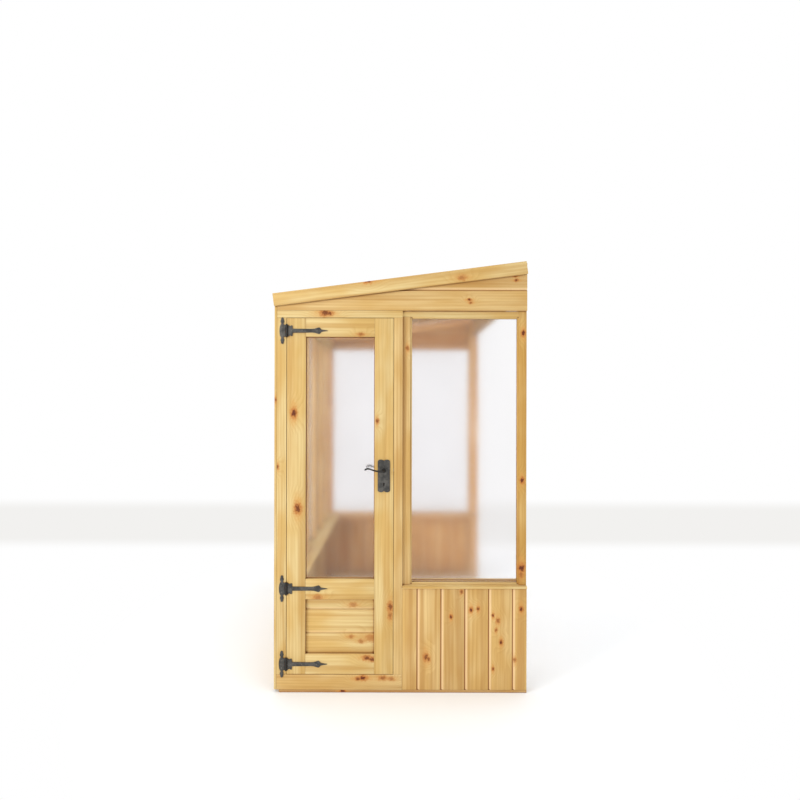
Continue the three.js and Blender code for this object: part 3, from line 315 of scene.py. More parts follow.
def pine_figure_group() -> bpy.types.NodeTree:
    """Annual rings, fibre and slow changes of tone round a pith that runs along Z.

    Returns:
        A group that turns a place into masks for latewood, fibre, streaks and patches of tone.
    """
    inputs = {"Vector": (0.0, 0.0, 0.0), "Ring Width": 0.006, "Swirl": 0.0}
    outputs = {"Latewood": VALUE, "Fibre": VALUE, "Streak": VALUE, "Patch": VALUE}
    graph, given, result = new_group("pine_figure", inputs, outputs)
    place = given.outputs["Vector"]
    drawn_out = graph.vector("MULTIPLY", place, (1.0, 1.0, 0.16))
    wandering = graph.node("ShaderNodeTexNoise", {"Vector": drawn_out, "Scale": 7.0, "Detail": 3.0})
    wander = wandering.outputs[1]
    sway = graph.vector("SCALE", graph.vector("SUBTRACT", wander, (0.5, 0.5, 0.5)))
    sway.node.inputs["Scale"].default_value = 0.04
    across = graph.vector("MULTIPLY", graph.vector("ADD", place, sway), (1.0, 1.0, 0.0))
    rings = graph.calc("DIVIDE", graph.length(across), given.outputs["Ring Width"])
    uneven = graph.noise(graph.vector("MULTIPLY", place, (24.0, 24.0, 1.4)), 1.0, 3.0)
    counted = graph.calc("ADD", graph.calc("MULTIPLY_ADD", uneven, 1.5, rings), given.outputs["Swirl"])
    phase = graph.calc("FRACT", counted)
    latewood = graph.calc("POWER", phase, 2.2)
    soft_edge = graph.ramp(phase, 0.82, 1.0, 1.0, 0.0)
    fine = graph.noise(graph.vector("MULTIPLY", place, (210.0, 210.0, 3.0)), 1.0, 2.0, 0.5)
    coarse = graph.noise(graph.vector("MULTIPLY", place, (88.0, 88.0, 1.3)), 1.0, 2.0, 0.55)
    fibre = graph.calc("ADD", graph.calc("MULTIPLY", fine, 0.22), graph.calc("MULTIPLY", coarse, 0.78))
    broad = graph.vector("ADD", graph.vector("MULTIPLY", place, (34.0, 34.0, 0.9)), (3.1, 7.7, 1.3))
    patch = graph.noise(graph.vector("MULTIPLY", place, (9.0, 9.0, 3.4)), 1.0, 2.0)
    graph.feed(result.inputs["Latewood"], graph.calc("MULTIPLY", latewood, soft_edge))
    graph.feed(result.inputs["Fibre"], fibre)
    graph.feed(result.inputs["Streak"], graph.noise(broad, 1.0, 2.0, 0.5))
    graph.feed(result.inputs["Patch"], patch)
    return graph.tree


def knot_group() -> bpy.types.NodeTree:
    """One knot: the rings bend round it, its heart is dark, its rim warm and the wood along it orange.

    Returns:
        A group that turns a place into masks for the knot's heart, rim and flare, and the rings' swirl.
    """
    origin, squeeze = (0.0, 0.0, 0.0), (1.0, 0.0, 1.0)
    inputs = {"Vector": origin, "Centre": origin, "Squeeze": squeeze, "Radius": 5 * MM}
    outputs = {"Heart": VALUE, "Rim": VALUE, "Flare": VALUE, "Swirl": VALUE}
    graph, given, result = new_group("pine_knot", inputs, outputs)
    away = graph.vector("SUBTRACT", given.outputs["Vector"], given.outputs["Centre"])
    ragged = graph.noise(given.outputs["Vector"], 95.0, 3.0, 0.6)
    squeezed = graph.vector("MULTIPLY", away, given.outputs["Squeeze"])
    near = graph.calc("DIVIDE", graph.length(squeezed), given.outputs["Radius"])
    drawn_out = graph.vector("MULTIPLY", squeezed, given.outputs["Squeeze"])
    drawn_out = graph.vector("MULTIPLY", drawn_out, given.outputs["Squeeze"])
    along = graph.calc("DIVIDE", graph.length(drawn_out), given.outputs["Radius"])
    unevenness = graph.calc("MULTIPLY_ADD", ragged, 2.4, -1.2)
    rough = graph.calc("ADD", near, unevenness)
    graph.feed(result.inputs["Heart"], graph.ramp(rough, 0.5, 1.15, 1.0, 0.0))
    graph.feed(result.inputs["Rim"], graph.ramp(rough, 0.8, 2.3, 1.0, 0.0))
    flared = graph.calc("ADD", along, unevenness)
    graph.feed(result.inputs["Flare"], graph.ramp(flared, 0.6, 2.6, 1.0, 0.0))
    graph.feed(result.inputs["Swirl"], graph.ramp(near, 0.0, 7.0, 2.6, 0.0))
    return graph.tree


def scattered_knot_group() -> bpy.types.NodeTree:
    """Small knots here and there along a timber, at places of their own.

    Returns:
        A group that turns a place into masks for the hearts and rims of scattered knots, and their swirl.
    """
    inputs = {"Vector": (0.0, 0.0, 0.0), "Share": 0.2}
    outputs = {"Heart": VALUE, "Rim": VALUE, "Swirl": VALUE}
    graph, given, result = new_group("scattered_knots", inputs, outputs)
    squeezed = graph.vector("MULTIPLY", given.outputs["Vector"], (1.0, 1.0, 0.6))
    ragged = graph.noise(given.outputs["Vector"], 130.0, 3.0, 0.6)
    cells = graph.node("ShaderNodeTexVoronoi", {"Vector": squeezed, "Scale": 11.0}, feature="F1")
    drawn = graph.node("ShaderNodeSeparateColor", {0: cells.outputs["Color"]})
    there = graph.calc("LESS_THAN", drawn.outputs[0], given.outputs["Share"])
    size = graph.ramp(drawn.outputs[1], 0.0, 1.0, 0.035, 0.08)
    near = graph.calc("DIVIDE", cells.outputs["Distance"], size)
    rough = graph.calc("ADD", near, graph.calc("MULTIPLY_ADD", ragged, 1.4, -0.7))
    masks = {
        "Heart": graph.ramp(rough, 0.4, 1.0, 1.0, 0.0),
        "Rim": graph.ramp(rough, 0.7, 2.6, 1.0, 0.0),
        "Swirl": graph.ramp(near, 0.0, 5.0, 2.0, 0.0),
    }
    for name, mask in masks.items():
        graph.feed(result.inputs[name], graph.calc("MULTIPLY", mask, there))
    return graph.tree


def board_group() -> bpy.types.NodeTree:
    """Tells the boards of a boarded panel apart.

    Returns:
        A group that turns a place into the number of its board, a tone of its own for each board, and masks
        for painted shade on the shaded bevel and root of each joint and painted highlight on its lit bevel.
    """
    inputs = {
        "Vector": (0.0, 0.0, 0.0), "Across": (1.0, 0.0, 0.0), "First Joint": 0.0, "Board": BOARD_PITCH
    }
    outputs = {"Number": VALUE, "Tone": VALUE, "Shaded": VALUE, "Lit": VALUE}
    graph, given, result = new_group("board_by_board", inputs, outputs)
    along = graph.dot(given.outputs["Vector"], given.outputs["Across"])
    from_joint = graph.calc("SUBTRACT", along, given.outputs["First Joint"])
    number = graph.calc("FLOOR", graph.calc("DIVIDE", from_joint, given.outputs["Board"]))
    boards_before = graph.calc("MULTIPLY", number, given.outputs["Board"])
    into_board = graph.calc("SUBTRACT", from_joint, boards_before)
    to_next = graph.calc("SUBTRACT", given.outputs["Board"], into_board)
    # Painted shade on the shaded bevel and at the root of a joint, painted highlight on its lit bevel
    shaded = graph.ramp(to_next, SHADED_BEVEL * 0.55, SHADED_BEVEL * 1.15, 1.0, 0.0)
    root = graph.ramp(into_board, 0.0, SHADED_BEVEL * 0.35, 1.0, 0.0)
    lit_bevel = graph.ramp(into_board, LIT_BEVEL * 0.75, LIT_BEVEL * 1.3, 1.0, 0.0)
    drawn = graph.node("ShaderNodeTexWhiteNoise", noise_dimensions="1D")
    graph.feed(drawn.inputs["W"], graph.calc("ADD", number, 7.5))
    graph.feed(result.inputs["Number"], number)
    graph.feed(result.inputs["Tone"], drawn.outputs["Value"])
    graph.feed(result.inputs["Shaded"], graph.calc("MAXIMUM", shaded, root))
    graph.feed(result.inputs["Lit"], lit_bevel)
    return graph.tree


def crevice_shade_group() -> bpy.types.NodeTree:
    """Mask of corners, gaps and grooves, for painted shade where little light comes.

    Returns:
        A group whose mask is 1 deep in a crevice and 0 on an open face.
    """
    graph, given, result = new_group("crevice_shade", {"Reach": 0.02, "Depth": 1.0}, {"Crevice": VALUE})
    reach = {"Distance": given.outputs["Reach"]}
    openness = graph.node("ShaderNodeAmbientOcclusion", reach, samples=16)
    shut_in = graph.ramp(openness.outputs["AO"], 0.28, 0.82, 1.0, 0.0)
    graph.feed(result.inputs["Crevice"], graph.calc("MULTIPLY", shut_in, given.outputs["Depth"]))
    return graph.tree


def edge_group() -> bpy.types.NodeTree:
    """Mask of edges that hands and weather have rubbed.

    Returns:
        A group whose mask is 1 on sharp outer edges and broken up along them.
    """
    inputs = {"Vector": (0.0, 0.0, 0.0), "Grit": 60.0, "Reach": 0.003}
    graph, given, result = new_group("rubbed_edges", inputs, {"Edge": VALUE})
    reach = {"Distance": given.outputs["Reach"]}
    solid = graph.node("ShaderNodeAmbientOcclusion", reach, samples=8, inside=True)
    broken = graph.node("ShaderNodeTexNoise", {"Vector": given.outputs["Vector"], "Detail": 3.0})
    graph.feed(broken.inputs["Scale"], given.outputs["Grit"])
    rubbed = graph.ramp(solid.outputs["AO"], 0.45, 0.8, 1.0, 0.0)
    patchy = graph.ramp(broken.outputs[0], 0.35, 0.6)
    graph.feed(result.inputs["Edge"], graph.calc("MULTIPLY", rubbed, patchy))
    return graph.tree


# Finishes


class Grain(Enum):
    """The way in which a timber's fibres run, as the turn that lays that way along Z."""

    UP = (0.0, 0.0, 0.0)
    ACROSS = (0.0, math.pi / 2, 0.0)
    ALONG = (math.pi / 2, 0.0, 0.0)
    UP_THE_ROOF = (0.0, math.pi / 2 + ROOF_PITCH, 0.0)


class Tone(Enum):
    """Base colour of planed pine: early wood, late wood and the warm colour of its patches."""

    HONEY = (srgb(219, 194, 136), srgb(185, 141, 74), srgb(209, 173, 104))
    BOARD = (srgb(215, 184, 125), srgb(177, 131, 69), srgb(202, 163, 96))
    DEEP = (srgb(204, 167, 99), srgb(167, 117, 51), srgb(192, 149, 75))
    SHADED = (srgb(203, 166, 110), srgb(166, 120, 66), srgb(189, 147, 85))


@dataclass(frozen=True)
class Knot:
    """A knot that runs through a gable's timber.

    Attributes:
        x: Place of its middle across the gable.
        z: Height of its middle.
        radius: Half its width, in millimetres.
        heart: Darkness of its heart, from 0 to 1.
    """

    x: float
    z: float
    radius: float
    heart: float = 1.0


@dataclass(frozen=True)
class Boards:
    """How the boards of a panel lie.

    Attributes:
        across: Direction across the boards, from the edge with painted highlight to the edge with painted
            shade of each.
        first_joint: Place of one joint along that direction.
        contrast: How far the joints stand out, from 0 to 1.
    """

    across: Point
    first_joint: float
    contrast: float = 1.0


@dataclass(frozen=True)
class PineFinish:
    """Planed and oiled pine.

    Attributes:
        grain: Way in which the fibres run.
        seed: Number that gives the timber its own figure.
        tone: Base colours.
        knots: Knots at places of their own.
        scattered: Share of places along the timber that have a small knot.
        boards: How the boards lie, for a boarded panel.
        ring_width: Spacing of the annual rings.
        inward: Direction in which the face looks that is painted darker and redder, as shade inside the
            building.
    """

    grain: Grain = Grain.UP
    seed: float = 0.0
    tone: Tone = Tone.HONEY
    knots: tuple[Knot, ...] = ()
    scattered: float = 0.04
    boards: Boards | None = None
    ring_width: float = 0.015
    inward: Point | None = None

    def pith(self, middle: Vector) -> Point:
        """How far the figure is moved, so that the timber is sawn beside the middle of the tree.

        Args:
            middle: The timber's middle.

        Returns:
            The way from the timber's middle, turned lengthways, to its place in the tree.
        """
        out_by, over_by = 0.04 * math.sin(self.seed * 2.3), 0.03 * math.cos(self.seed * 1.7)
        aside = (0.1 + out_by, 0.07 + over_by, self.seed)
        turned = middle.copy()
        turned.rotate(Euler(self.grain.value))
        return tuple(Vector(aside) - turned)


@dataclass(frozen=True)
class GlassFinish:
    """Frosted horticultural glass.

    Attributes:
        haze: Roughness of the rolled face.
        unevenness: How far the haze varies from place to place.
        tints: Colours in transmission between which the glass varies.
        handled: Place on the pane that hands have made hazier, if there is one.
        smear: How much hazier it is at that place.
        smear_reach: Distance over which the smear fades.
    """

    haze: float = 0.14
    unevenness: float = 0.012
    tints: tuple[Colour, Colour] = (srgb(248, 247, 248), srgb(250, 249, 250))
    handled: Point | None = None
    smear: float = 0.14
    smear_reach: float = 110 * MM


@dataclass(frozen=True)
class IronFinish:
    """Antique black iron: dark paint over a hammered skin.

    Attributes:
        paints: Colours of the paint, between which it varies.
        dust: Share of dust that shows in the paint's specks.
        rubbed: How pale the edges are rubbed, from 0 to 1.
        shaded_pin: Place across the gable of a pin along whose knuckles painted shade darkens the iron, if
            there is one.
    """

    paints: tuple[Colour, Colour] = (srgb(54, 53, 50), srgb(88, 85, 80))
    dust: float = 0.4
    rubbed: float = 0.5
    shaded_pin: float | None = None


@dataclass(frozen=True)
class KnotMasks:
    """Masks of all the knots of a timber.

    Attributes:
        heart: Their dark hearts.
        rim: Their warm rims.
        flare: The orange wood that runs out from them along the fibres.
        swirl: How many rings the figure bends round them.
    """

    heart: Socket
    rim: Socket
    flare: Socket
    swirl: Socket


# Colours that are laid over the base colour of a finish
KNOT_FLARE = srgb(202, 146, 74)
KNOT_RIM = srgb(176, 100, 38)
KNOT_HEART = srgb(92, 34, 4)
RUBBED_PINE = srgb(240, 212, 160)
# Painted shade in the crevices of pine
CREVICE_SHADE_PINE = srgb(128, 72, 34)
# Painted shade on faces that look into the building
INSIDE_SHADE_PINE = srgb(255, 229, 215)
# Painted highlight on the lit bevel of a board joint, and painted shade on its shaded bevel
LIT_BEVEL_PINE = srgb(243, 208, 158)
SHADED_BEVEL_PINE = srgb(138, 82, 40)
DUSTY_IRON = srgb(104, 100, 93)
RUBBED_IRON = srgb(132, 127, 118)
# Painted shade along a hinge pin's knuckles
KNUCKLE_SHADE_IRON = srgb(24, 21, 18)
# Painted shade in the crevices of iron
CREVICE_SHADE_IRON = srgb(18, 16, 14)
# Pairs of colours between which a finish varies, and the tint of the light that glass lets through
PLATED_STEEL = (srgb(128, 130, 132), srgb(160, 162, 163))
# Brown mastic, dark enough to stand in as painted shade along a pane's edge
MASTIC_AND_SHADE_BROWN = (srgb(104, 62, 30), srgb(146, 96, 52))
CLEAR_LIGHT = srgb(251, 251, 251)


class MaterialShop:
    """Makes the materials and keeps the node groups that they share."""

    def __init__(self) -> None:
        """Builds the node groups, with no material made yet."""
        self.figure = pine_figure_group()
        self.knot = knot_group()
        self.scattered = scattered_knot_group()
        self.boards = board_group()
        self.edges = edge_group()
        self.crevice_shade = crevice_shade_group()
        self.made: dict[str, bpy.types.Material] = {}

    def pine(self, name: str, finish: PineFinish, middle: Vector) -> bpy.types.Material:
        """Planed pine with rings, fibre, knots and slightly rubbed edges, with painted shade in its
        crevices.

        Args:
            name: The material's name.
            finish: Grain, tone, knots and boards of the timber.
            middle: The timber's middle, from which its figure is laid out.

        Returns:
            The material.
        """
        material, graph, surface = new_material(name)
        place = graph.place()
        lengthways, board = self.laid_lengthways(graph, place, finish, middle)
        knots = self.knotted(graph, place, lengthways, finish)
        figure = graph.group(
            self.figure, Vector=lengthways, Ring_Width=finish.ring_width, Swirl=knots.swirl
        )
        colour = self.figured(graph, figure, finish.tone)
        # Painted shade on the face that looks into the building
        if finish.inward:
            colour = self.shaded_inside(graph, colour, finish.inward)
        # Painted highlight and painted shade on the bevels of the boards' joints
        if board:
            colour = self.boarded(graph, colour, board, finish.boards.contrast)
        layers = (
            (knots.flare, 0.7, KNOT_FLARE),
            (knots.rim, 0.8, KNOT_RIM),
            (knots.heart, 0.95, KNOT_HEART),
        )
        for mask, strength, tint in layers:
            colour = graph.blend(graph.calc("MULTIPLY", mask, strength), colour, tint)
        rubbed = graph.group(self.edges, Vector=place, Grit=55.0, Reach=3 * MM).outputs["Edge"]
        colour = graph.blend(graph.calc("MULTIPLY", rubbed, 0.3), colour, RUBBED_PINE)
        # Painted shade: corners, gaps and grooves are darkened where little light reaches
        shut_in = graph.group(self.crevice_shade, Reach=14 * MM, Depth=0.95).outputs["Crevice"]
        fibre = figure.outputs["Fibre"]
        roughness = graph.ramp(fibre, 0.3, 0.7, 0.5, 0.68)
        graph.coat(surface, graph.blend(shut_in, colour, CREVICE_SHADE_PINE), roughness)
        surface.inputs["Specular IOR Level"].default_value = 0.3
        height = graph.calc("SUBTRACT", graph.calc("MULTIPLY", fibre, 0.6), knots.heart)
        graph.emboss(surface, height, 0.25)
        return material

    def knotted(self, graph: Graph, place: Socket, lengthways: Socket, finish: PineFinish) -> KnotMasks:
        """Masks of the knots, both of the scattered ones and of those at places of their own.

        Args:
            graph: The material's graph.
            place: Place on the piece.
            lengthways: Place in the timber, with its fibres along Z.
            finish: Knots of the timber.

        Returns:
            The masks of all the knots together.
        """
        spots = graph.group(self.scattered, Vector=lengthways, Share=finish.scattered)
        hearts = [graph.calc("MULTIPLY", spots.outputs["Heart"], 0.8)]
        rims = [spots.outputs["Rim"]]
        flares = [spots.outputs["Rim"]]
        swirl = spots.outputs["Swirl"]
        for knot in finish.knots:
            seen = graph.group(
                self.knot,
                Vector=place,
                Centre=(knot.x, 0.0, knot.z),
                Squeeze=squeeze_along(finish.grain),
                Radius=knot.radius * KNOT_SPREAD * MM,
            ).outputs
            hearts.append(graph.calc("MULTIPLY", seen["Heart"], knot.heart))
            rims.append(graph.calc("MULTIPLY", seen["Rim"], 0.5 + 0.5 * knot.heart))
            flares.append(graph.calc("MULTIPLY", seen["Flare"], 0.55 + 0.45 * knot.heart))
            swirl = graph.calc("ADD", swirl, seen["Swirl"])
        return KnotMasks(
            self.most_of(graph, hearts), self.most_of(graph, rims), self.most_of(graph, flares), swirl
        )

    def laid_lengthways(
        self, graph: Graph, place: Socket, finish: PineFinish, middle: Vector
    ) -> tuple[Socket, bpy.types.Node | None]:
        """Place in the timber, with its fibres along Z and each board of a panel cut from a tree of its own.

        Args:
            graph: The material's graph.
            place: Place on the piece.
            finish: Grain and boards of the timber.
            middle: The timber's middle.

        Returns:
            The place in the timber, and the node that tells the boards apart if it has any.
        """
        board = None
        if finish.boards:
            lie = finish.boards
            board = graph.group(self.boards, Vector=place, Across=lie.across, First_Joint=lie.first_joint)
            stride = tuple(-BOARD_PITCH * share for share in lie.across)
            beside = graph.node("ShaderNodeVectorMath", {0: stride}, operation="SCALE")
            steps = graph.calc("SUBTRACT", board.outputs["Number"], board.outputs["Tone"])
            graph.feed(beside.inputs["Scale"], steps)
            place = graph.vector("ADD", place, beside.outputs[0])
        turned = graph.node("ShaderNodeVectorRotate", {"Vector": place}, rotation_type="EULER_XYZ")
        turned.inputs["Rotation"].default_value = finish.grain.value
        lengthways = graph.vector("ADD", turned.outputs["Vector"], finish.pith(middle))
        if board:
            lengthwise = graph.node("ShaderNodeCombineXYZ")
            strides = graph.calc("MULTIPLY", board.outputs["Number"], BOARD_STRIDE)
            graph.feed(lengthwise.inputs["Z"], strides)
            lengthways = graph.vector("ADD", lengthways, lengthwise.outputs[0])
        return lengthways, board

    def figured(self, graph: Graph, figure: bpy.types.Node, tone: Tone) -> Socket:
        """Colour of the figure: patches under streaks, fibre and rings.

        Args:
            graph: The material's graph.
            figure: Node of the figure's group.
            tone: Base colours.

        Returns:
            The colour.
        """
        early, late, warm = tone.value
        colour = graph.blend(graph.ramp(figure.outputs["Patch"], 0.36, 0.66), early, warm)
        colour = graph.blend(graph.ramp(figure.outputs["Streak"], 0.44, 0.7, 0.0, 0.62), colour, late)
        colour = graph.blend(graph.ramp(figure.outputs["Fibre"], 0.42, 0.68, 0.0, 0.34), colour, late)
        return graph.blend(graph.calc("MULTIPLY", figure.outputs["Latewood"], 0.46), colour, late)

    def shaded_inside(self, graph: Graph, colour: Socket, inward: Point) -> Socket:
        """The same colour with painted shade: darker and redder on the face that looks into the building.

        Args:
            graph: The material's graph.
            colour: The wood's colour.
            inward: Direction in which that face looks.

        Returns:
            The colour.
        """
        turned_in = graph.dot(graph.node("ShaderNodeNewGeometry").outputs["Normal"], inward)
        return graph.blend(graph.ramp(turned_in, 0.4, 0.8), colour, INSIDE_SHADE_PINE, kind="MULTIPLY")

    def boarded(self, graph: Graph, colour: Socket, board: bpy.types.Node, contrast: float) -> Socket:
        """The same colour with a tone for each board, and with painted highlight and painted shade on the
        bevels of its joints.

        Args:
            graph: The material's graph.
            colour: The wood's colour.
            board: Node that tells the boards apart.
            contrast: How far the joints stand out, from 0 to 1.

        Returns:
            The colour.
        """
        toned = graph.node("ShaderNodeHueSaturation", {"Color": colour})
        graph.feed(toned.inputs["Value"], graph.ramp(board.outputs["Tone"], 0.0, 1.0, 0.97, 1.04))
        # Painted highlight on each joint's lit bevel, painted shade on its shaded one
        lit_bevel = graph.calc("MULTIPLY", board.outputs["Lit"], 0.65 * contrast)
        highlighted = graph.blend(lit_bevel, toned.outputs["Color"], LIT_BEVEL_PINE)
        shaded = graph.calc("MULTIPLY", board.outputs["Shaded"], 0.8 * contrast)
        return graph.blend(shaded, highlighted, SHADED_BEVEL_PINE)

    def most_of(self, graph: Graph, masks: Sequence[Socket]) -> Socket:
        """Greatest of several masks.

        Args:
            graph: The material's graph.
            masks: The masks, at least one.

        Returns:
            A mask that is as great as the greatest of them at each place.
        """
        greatest = masks[0]
        for mask in masks[1:]:
            greatest = graph.calc("MAXIMUM", greatest, mask)
        return greatest

    def glass(self, name: str, finish: GlassFinish) -> bpy.types.Material:
        """Frosted pane that lets light through to the ground.

        Args:
            name: The material's name.
            finish: Haze and tint of the glass.

        Returns:
            The material.
        """
        material, graph, surface = new_material(name)
        place = graph.place()
        dimples = graph.noise(place, 260.0, 2.0, 0.5)
        smears = graph.noise(place, 3.0, 2.0, 0.5)
        surface.inputs["Transmission Weight"].default_value = 1.0
        surface.inputs["IOR"].default_value = 1.45
        colour = graph.blend(graph.ramp(smears, 0.3, 0.7), *finish.tints)
        least, most = finish.haze - finish.unevenness, finish.haze + finish.unevenness
        roughness = graph.ramp(smears, 0.2, 0.8, least, most)
        if finish.handled:
            from_hand = graph.length(graph.vector("SUBTRACT", place, finish.handled))
            smear = graph.ramp(from_hand, 0.0, finish.smear_reach, finish.smear, 0.0)
            roughness = graph.calc("ADD", roughness, smear)
        graph.coat(surface, colour, roughness)
        graph.emboss(surface, dimples, 0.02)
        clear = graph.node("ShaderNodeBsdfTransparent", {"Color": CLEAR_LIGHT})
        ray = graph.node("ShaderNodeLightPath")
        graph.show_instead(ray.outputs["Is Shadow Ray"], surface, clear)
        return material

    def iron(self, name: str, finish: IronFinish) -> bpy.types.Material:
        """Antique black iron with dust, paler edges, painted shade in its corners and, for a hinge, painted
        shade along its knuckles.

        Args:
            name: The material's name.
            finish: Paint and wear of the iron.

        Returns:
            The material.
        """
        material, graph, surface = new_material(name)
        place = graph.place()
        cloud = graph.noise(place, 42.0, 4.0, 0.6)
        speck = graph.noise(place, 420.0, 3.0, 0.6)
        colour = graph.blend(graph.ramp(cloud, 0.35, 0.66), *finish.paints)
        colour = graph.blend(graph.ramp(speck, 0.56, 0.72, 0.0, finish.dust), colour, DUSTY_IRON)
        rubbed = graph.group(self.edges, Vector=place, Grit=160.0, Reach=1 * MM).outputs["Edge"]
        colour = graph.blend(graph.calc("MULTIPLY", rubbed, finish.rubbed), colour, RUBBED_IRON)
        # Painted shade: the iron is darkened along the pin's knuckles
        if finish.shaded_pin is not None:
            across = graph.node("ShaderNodeSeparateXYZ", {0: place}).outputs["X"]
            from_pin = graph.calc("ABSOLUTE", graph.calc("SUBTRACT", across, finish.shaded_pin))
            colour = graph.blend(graph.ramp(from_pin, 5 * MM, 8 * MM, 0.85, 0.0), colour, KNUCKLE_SHADE_IRON)
        # Painted shade: corners and gaps are darkened where little light reaches
        shut_in = graph.group(self.crevice_shade, Reach=9 * MM, Depth=0.9).outputs["Crevice"]
        roughness = graph.ramp(cloud, 0.3, 0.7, 0.42, 0.6)
        graph.coat(surface, graph.blend(shut_in, colour, CREVICE_SHADE_IRON), roughness)
        surface.inputs["Metallic"].default_value = 0.35
        hammered = graph.noise(place, 130.0, 2.0, 0.5)
        height = graph.calc("ADD", hammered, graph.calc("MULTIPLY", speck, 0.35))
        graph.emboss(surface, height, 0.35)
        return material

    def steel(self, name: str) -> bpy.types.Material:
        """Zinc-plated steel with fine marks of the tool along it.

        Args:
            name: The material's name.

        Returns:
            The material.
        """
        material, graph, surface = new_material(name)
        place = graph.place()
        drawn = graph.noise(graph.vector("MULTIPLY", place, (1.0, 1.0, 0.05)), 900.0, 2.0, 0.5)
        cloud = graph.noise(place, 60.0, 3.0, 0.5)
        colour = graph.blend(graph.ramp(cloud, 0.3, 0.7), *PLATED_STEEL)
        graph.coat(surface, colour, graph.ramp(drawn, 0.3, 0.7, 0.28, 0.44))
        surface.inputs["Metallic"].default_value = 1.0
        graph.emboss(surface, drawn, 0.1, RELIEF / 2)
        return material

    def bedding(self, name: str) -> bpy.types.Material:
        """Brown glazing mastic, slightly uneven, dark enough to stand in as painted shade along a pane's
        edge as well.

        Args:
            name: The material's name.

        Returns:
            The material.
        """
        material, graph, surface = new_material(name)
        place = graph.place()
        cloud = graph.noise(place, 35.0, 3.0)
        roughness = graph.ramp(cloud, 0.3, 0.7, 0.55, 0.75)
        graph.coat(surface, graph.blend(cloud, *MASTIC_AND_SHADE_BROWN), roughness)
        return material

    def pane(self) -> bpy.types.Material:
        """The frosted glass of every pane but the door's."""
        return self.once("frosted_glass", lambda name: self.glass(name, GlassFinish()))

    def handled_pane(self, hand: Point) -> bpy.types.Material:
        """The frosted glass of the door, hazier where hands reach for the lever."""
        return self.once("door_glass", lambda name: self.glass(name, GlassFinish(handled=hand)))

    def forged(self) -> bpy.types.Material:
        """The black iron of handle plates, screws, stay and vent hinge."""
        return self.once("black_iron", lambda name: self.iron(name, IronFinish()))

    def handled_iron(self) -> bpy.types.Material:
        """The black iron of the levers, which hands keep dark."""
        finish = IronFinish((srgb(22, 21, 19), srgb(44, 42, 39)), dust=0.1, rubbed=0.1)
        return self.once("lever_iron", lambda name: self.iron(name, finish))

    def knuckle_shaded_iron(self, pin: float) -> bpy.types.Material:
        """The black iron of the strap hinges, with painted shade along their knuckles."""
        return self.once("hinge_iron", lambda name: self.iron(name, IronFinish(shaded_pin=pin)))

    def plated(self) -> bpy.types.Material:
        """The plated steel of lock and strike."""
        return self.once("plated_steel", self.steel)

    def mastic(self) -> bpy.types.Material:
        """The brown mastic that beds the near gable's and the door's pane, and stands in as painted shade
        along their edges.
        """
        return self.once("glazing_mastic", self.bedding)

    def once(self, name: str, make: Callable[[str], bpy.types.Material]) -> bpy.types.Material:
        """A material that several pieces share, made at its first use.

        Args:
            name: The material's name.
            make: Makes the material when given its name.

        Returns:
            The material.
        """
        if name not in self.made:
            self.made[name] = make(name)
        return self.made[name]


def squeeze_along(grain: Grain) -> Point:
    """How strongly a knot closes along each axis: not through the timber, and less along the grain."""
    along = 0.7
    return (1.0, 0.0, along) if grain is Grain.UP else (along, 0.0, 1.0)


# Modelling by operators, as by hand


def only(*pieces: Piece) -> None:
    """Selects these objects and nothing else, with the first one active."""
    bpy.ops.object.select_all(action="DESELECT")
    for piece in pieces:
        piece.select_set(True)
    bpy.context.view_layer.objects.active = pieces[0]


def clear_selection() -> None:
    """Deselects everything before a primitive is added."""
    bpy.ops.object.select_all(action="DESELECT")


def refined(piece: Piece, kind: str, **settings: object) -> Piece:
    """Adds a modifier and applies it.

    Args:
        piece: The object that is changed.
        kind: The modifier's type.
        settings: Properties of the modifier.

    Returns:
        The same object.
    """
    only(piece)
    modifier = piece.modifiers.new(kind.lower(), kind)
    for name, value in settings.items():
        setattr(modifier, name, value)
    bpy.ops.object.modifier_apply(modifier=modifier.name)
    return piece


def shaded_smooth(piece: Piece, degrees: float) -> Piece:
    """Shades a piece smooth but for its sharp edges.

    Args:
        piece: The object.
        degrees: Angle past which an edge stays sharp.

    Returns:
        The same object.
    """
    only(piece)
    bpy.ops.object.shade_smooth_by_angle(angle=math.radians(degrees))
    return piece


def eased(piece: Piece, width: float) -> Piece:
    """Rounds the sharp edges a little and shades the rest smooth.

    Args:
        piece: The object.
        width: Width of the rounding.

    Returns:
        The same object.
    """
    refined(
        piece,
        "BEVEL",
        width=width,
        segments=2,
        limit_method="ANGLE",
        angle_limit=math.radians(ROUNDED_PAST),
        use_clamp_overlap=True,
        harden_normals=False,
    )
    return shaded_smooth(piece, CREASE_OF_EASED)


def place_applied(piece: Piece) -> Piece:
    """Puts the piece's place, turn and scale into its mesh, so that its object lies at the origin.

    Args:
        piece: The object.

    Returns:
        The same object.
    """
    only(piece)
    bpy.ops.object.transform_apply(location=True, rotation=True, scale=True)
    return piece


def block(name: str, low: Vector, high: Vector) -> Piece:
    """Squared piece between two corners, as the start of a shape.

    Args:
        name: The piece's name.
        low: Corner with the least coordinates.
        high: Corner opposite to it.

    Returns:
        The piece with its place in its mesh.
    """
    clear_selection()
    bpy.ops.mesh.primitive_cube_add(size=1.0, location=(low + high) / 2)
    piece = bpy.context.object
    piece.name = name
    piece.scale = high - low
    return place_applied(piece)


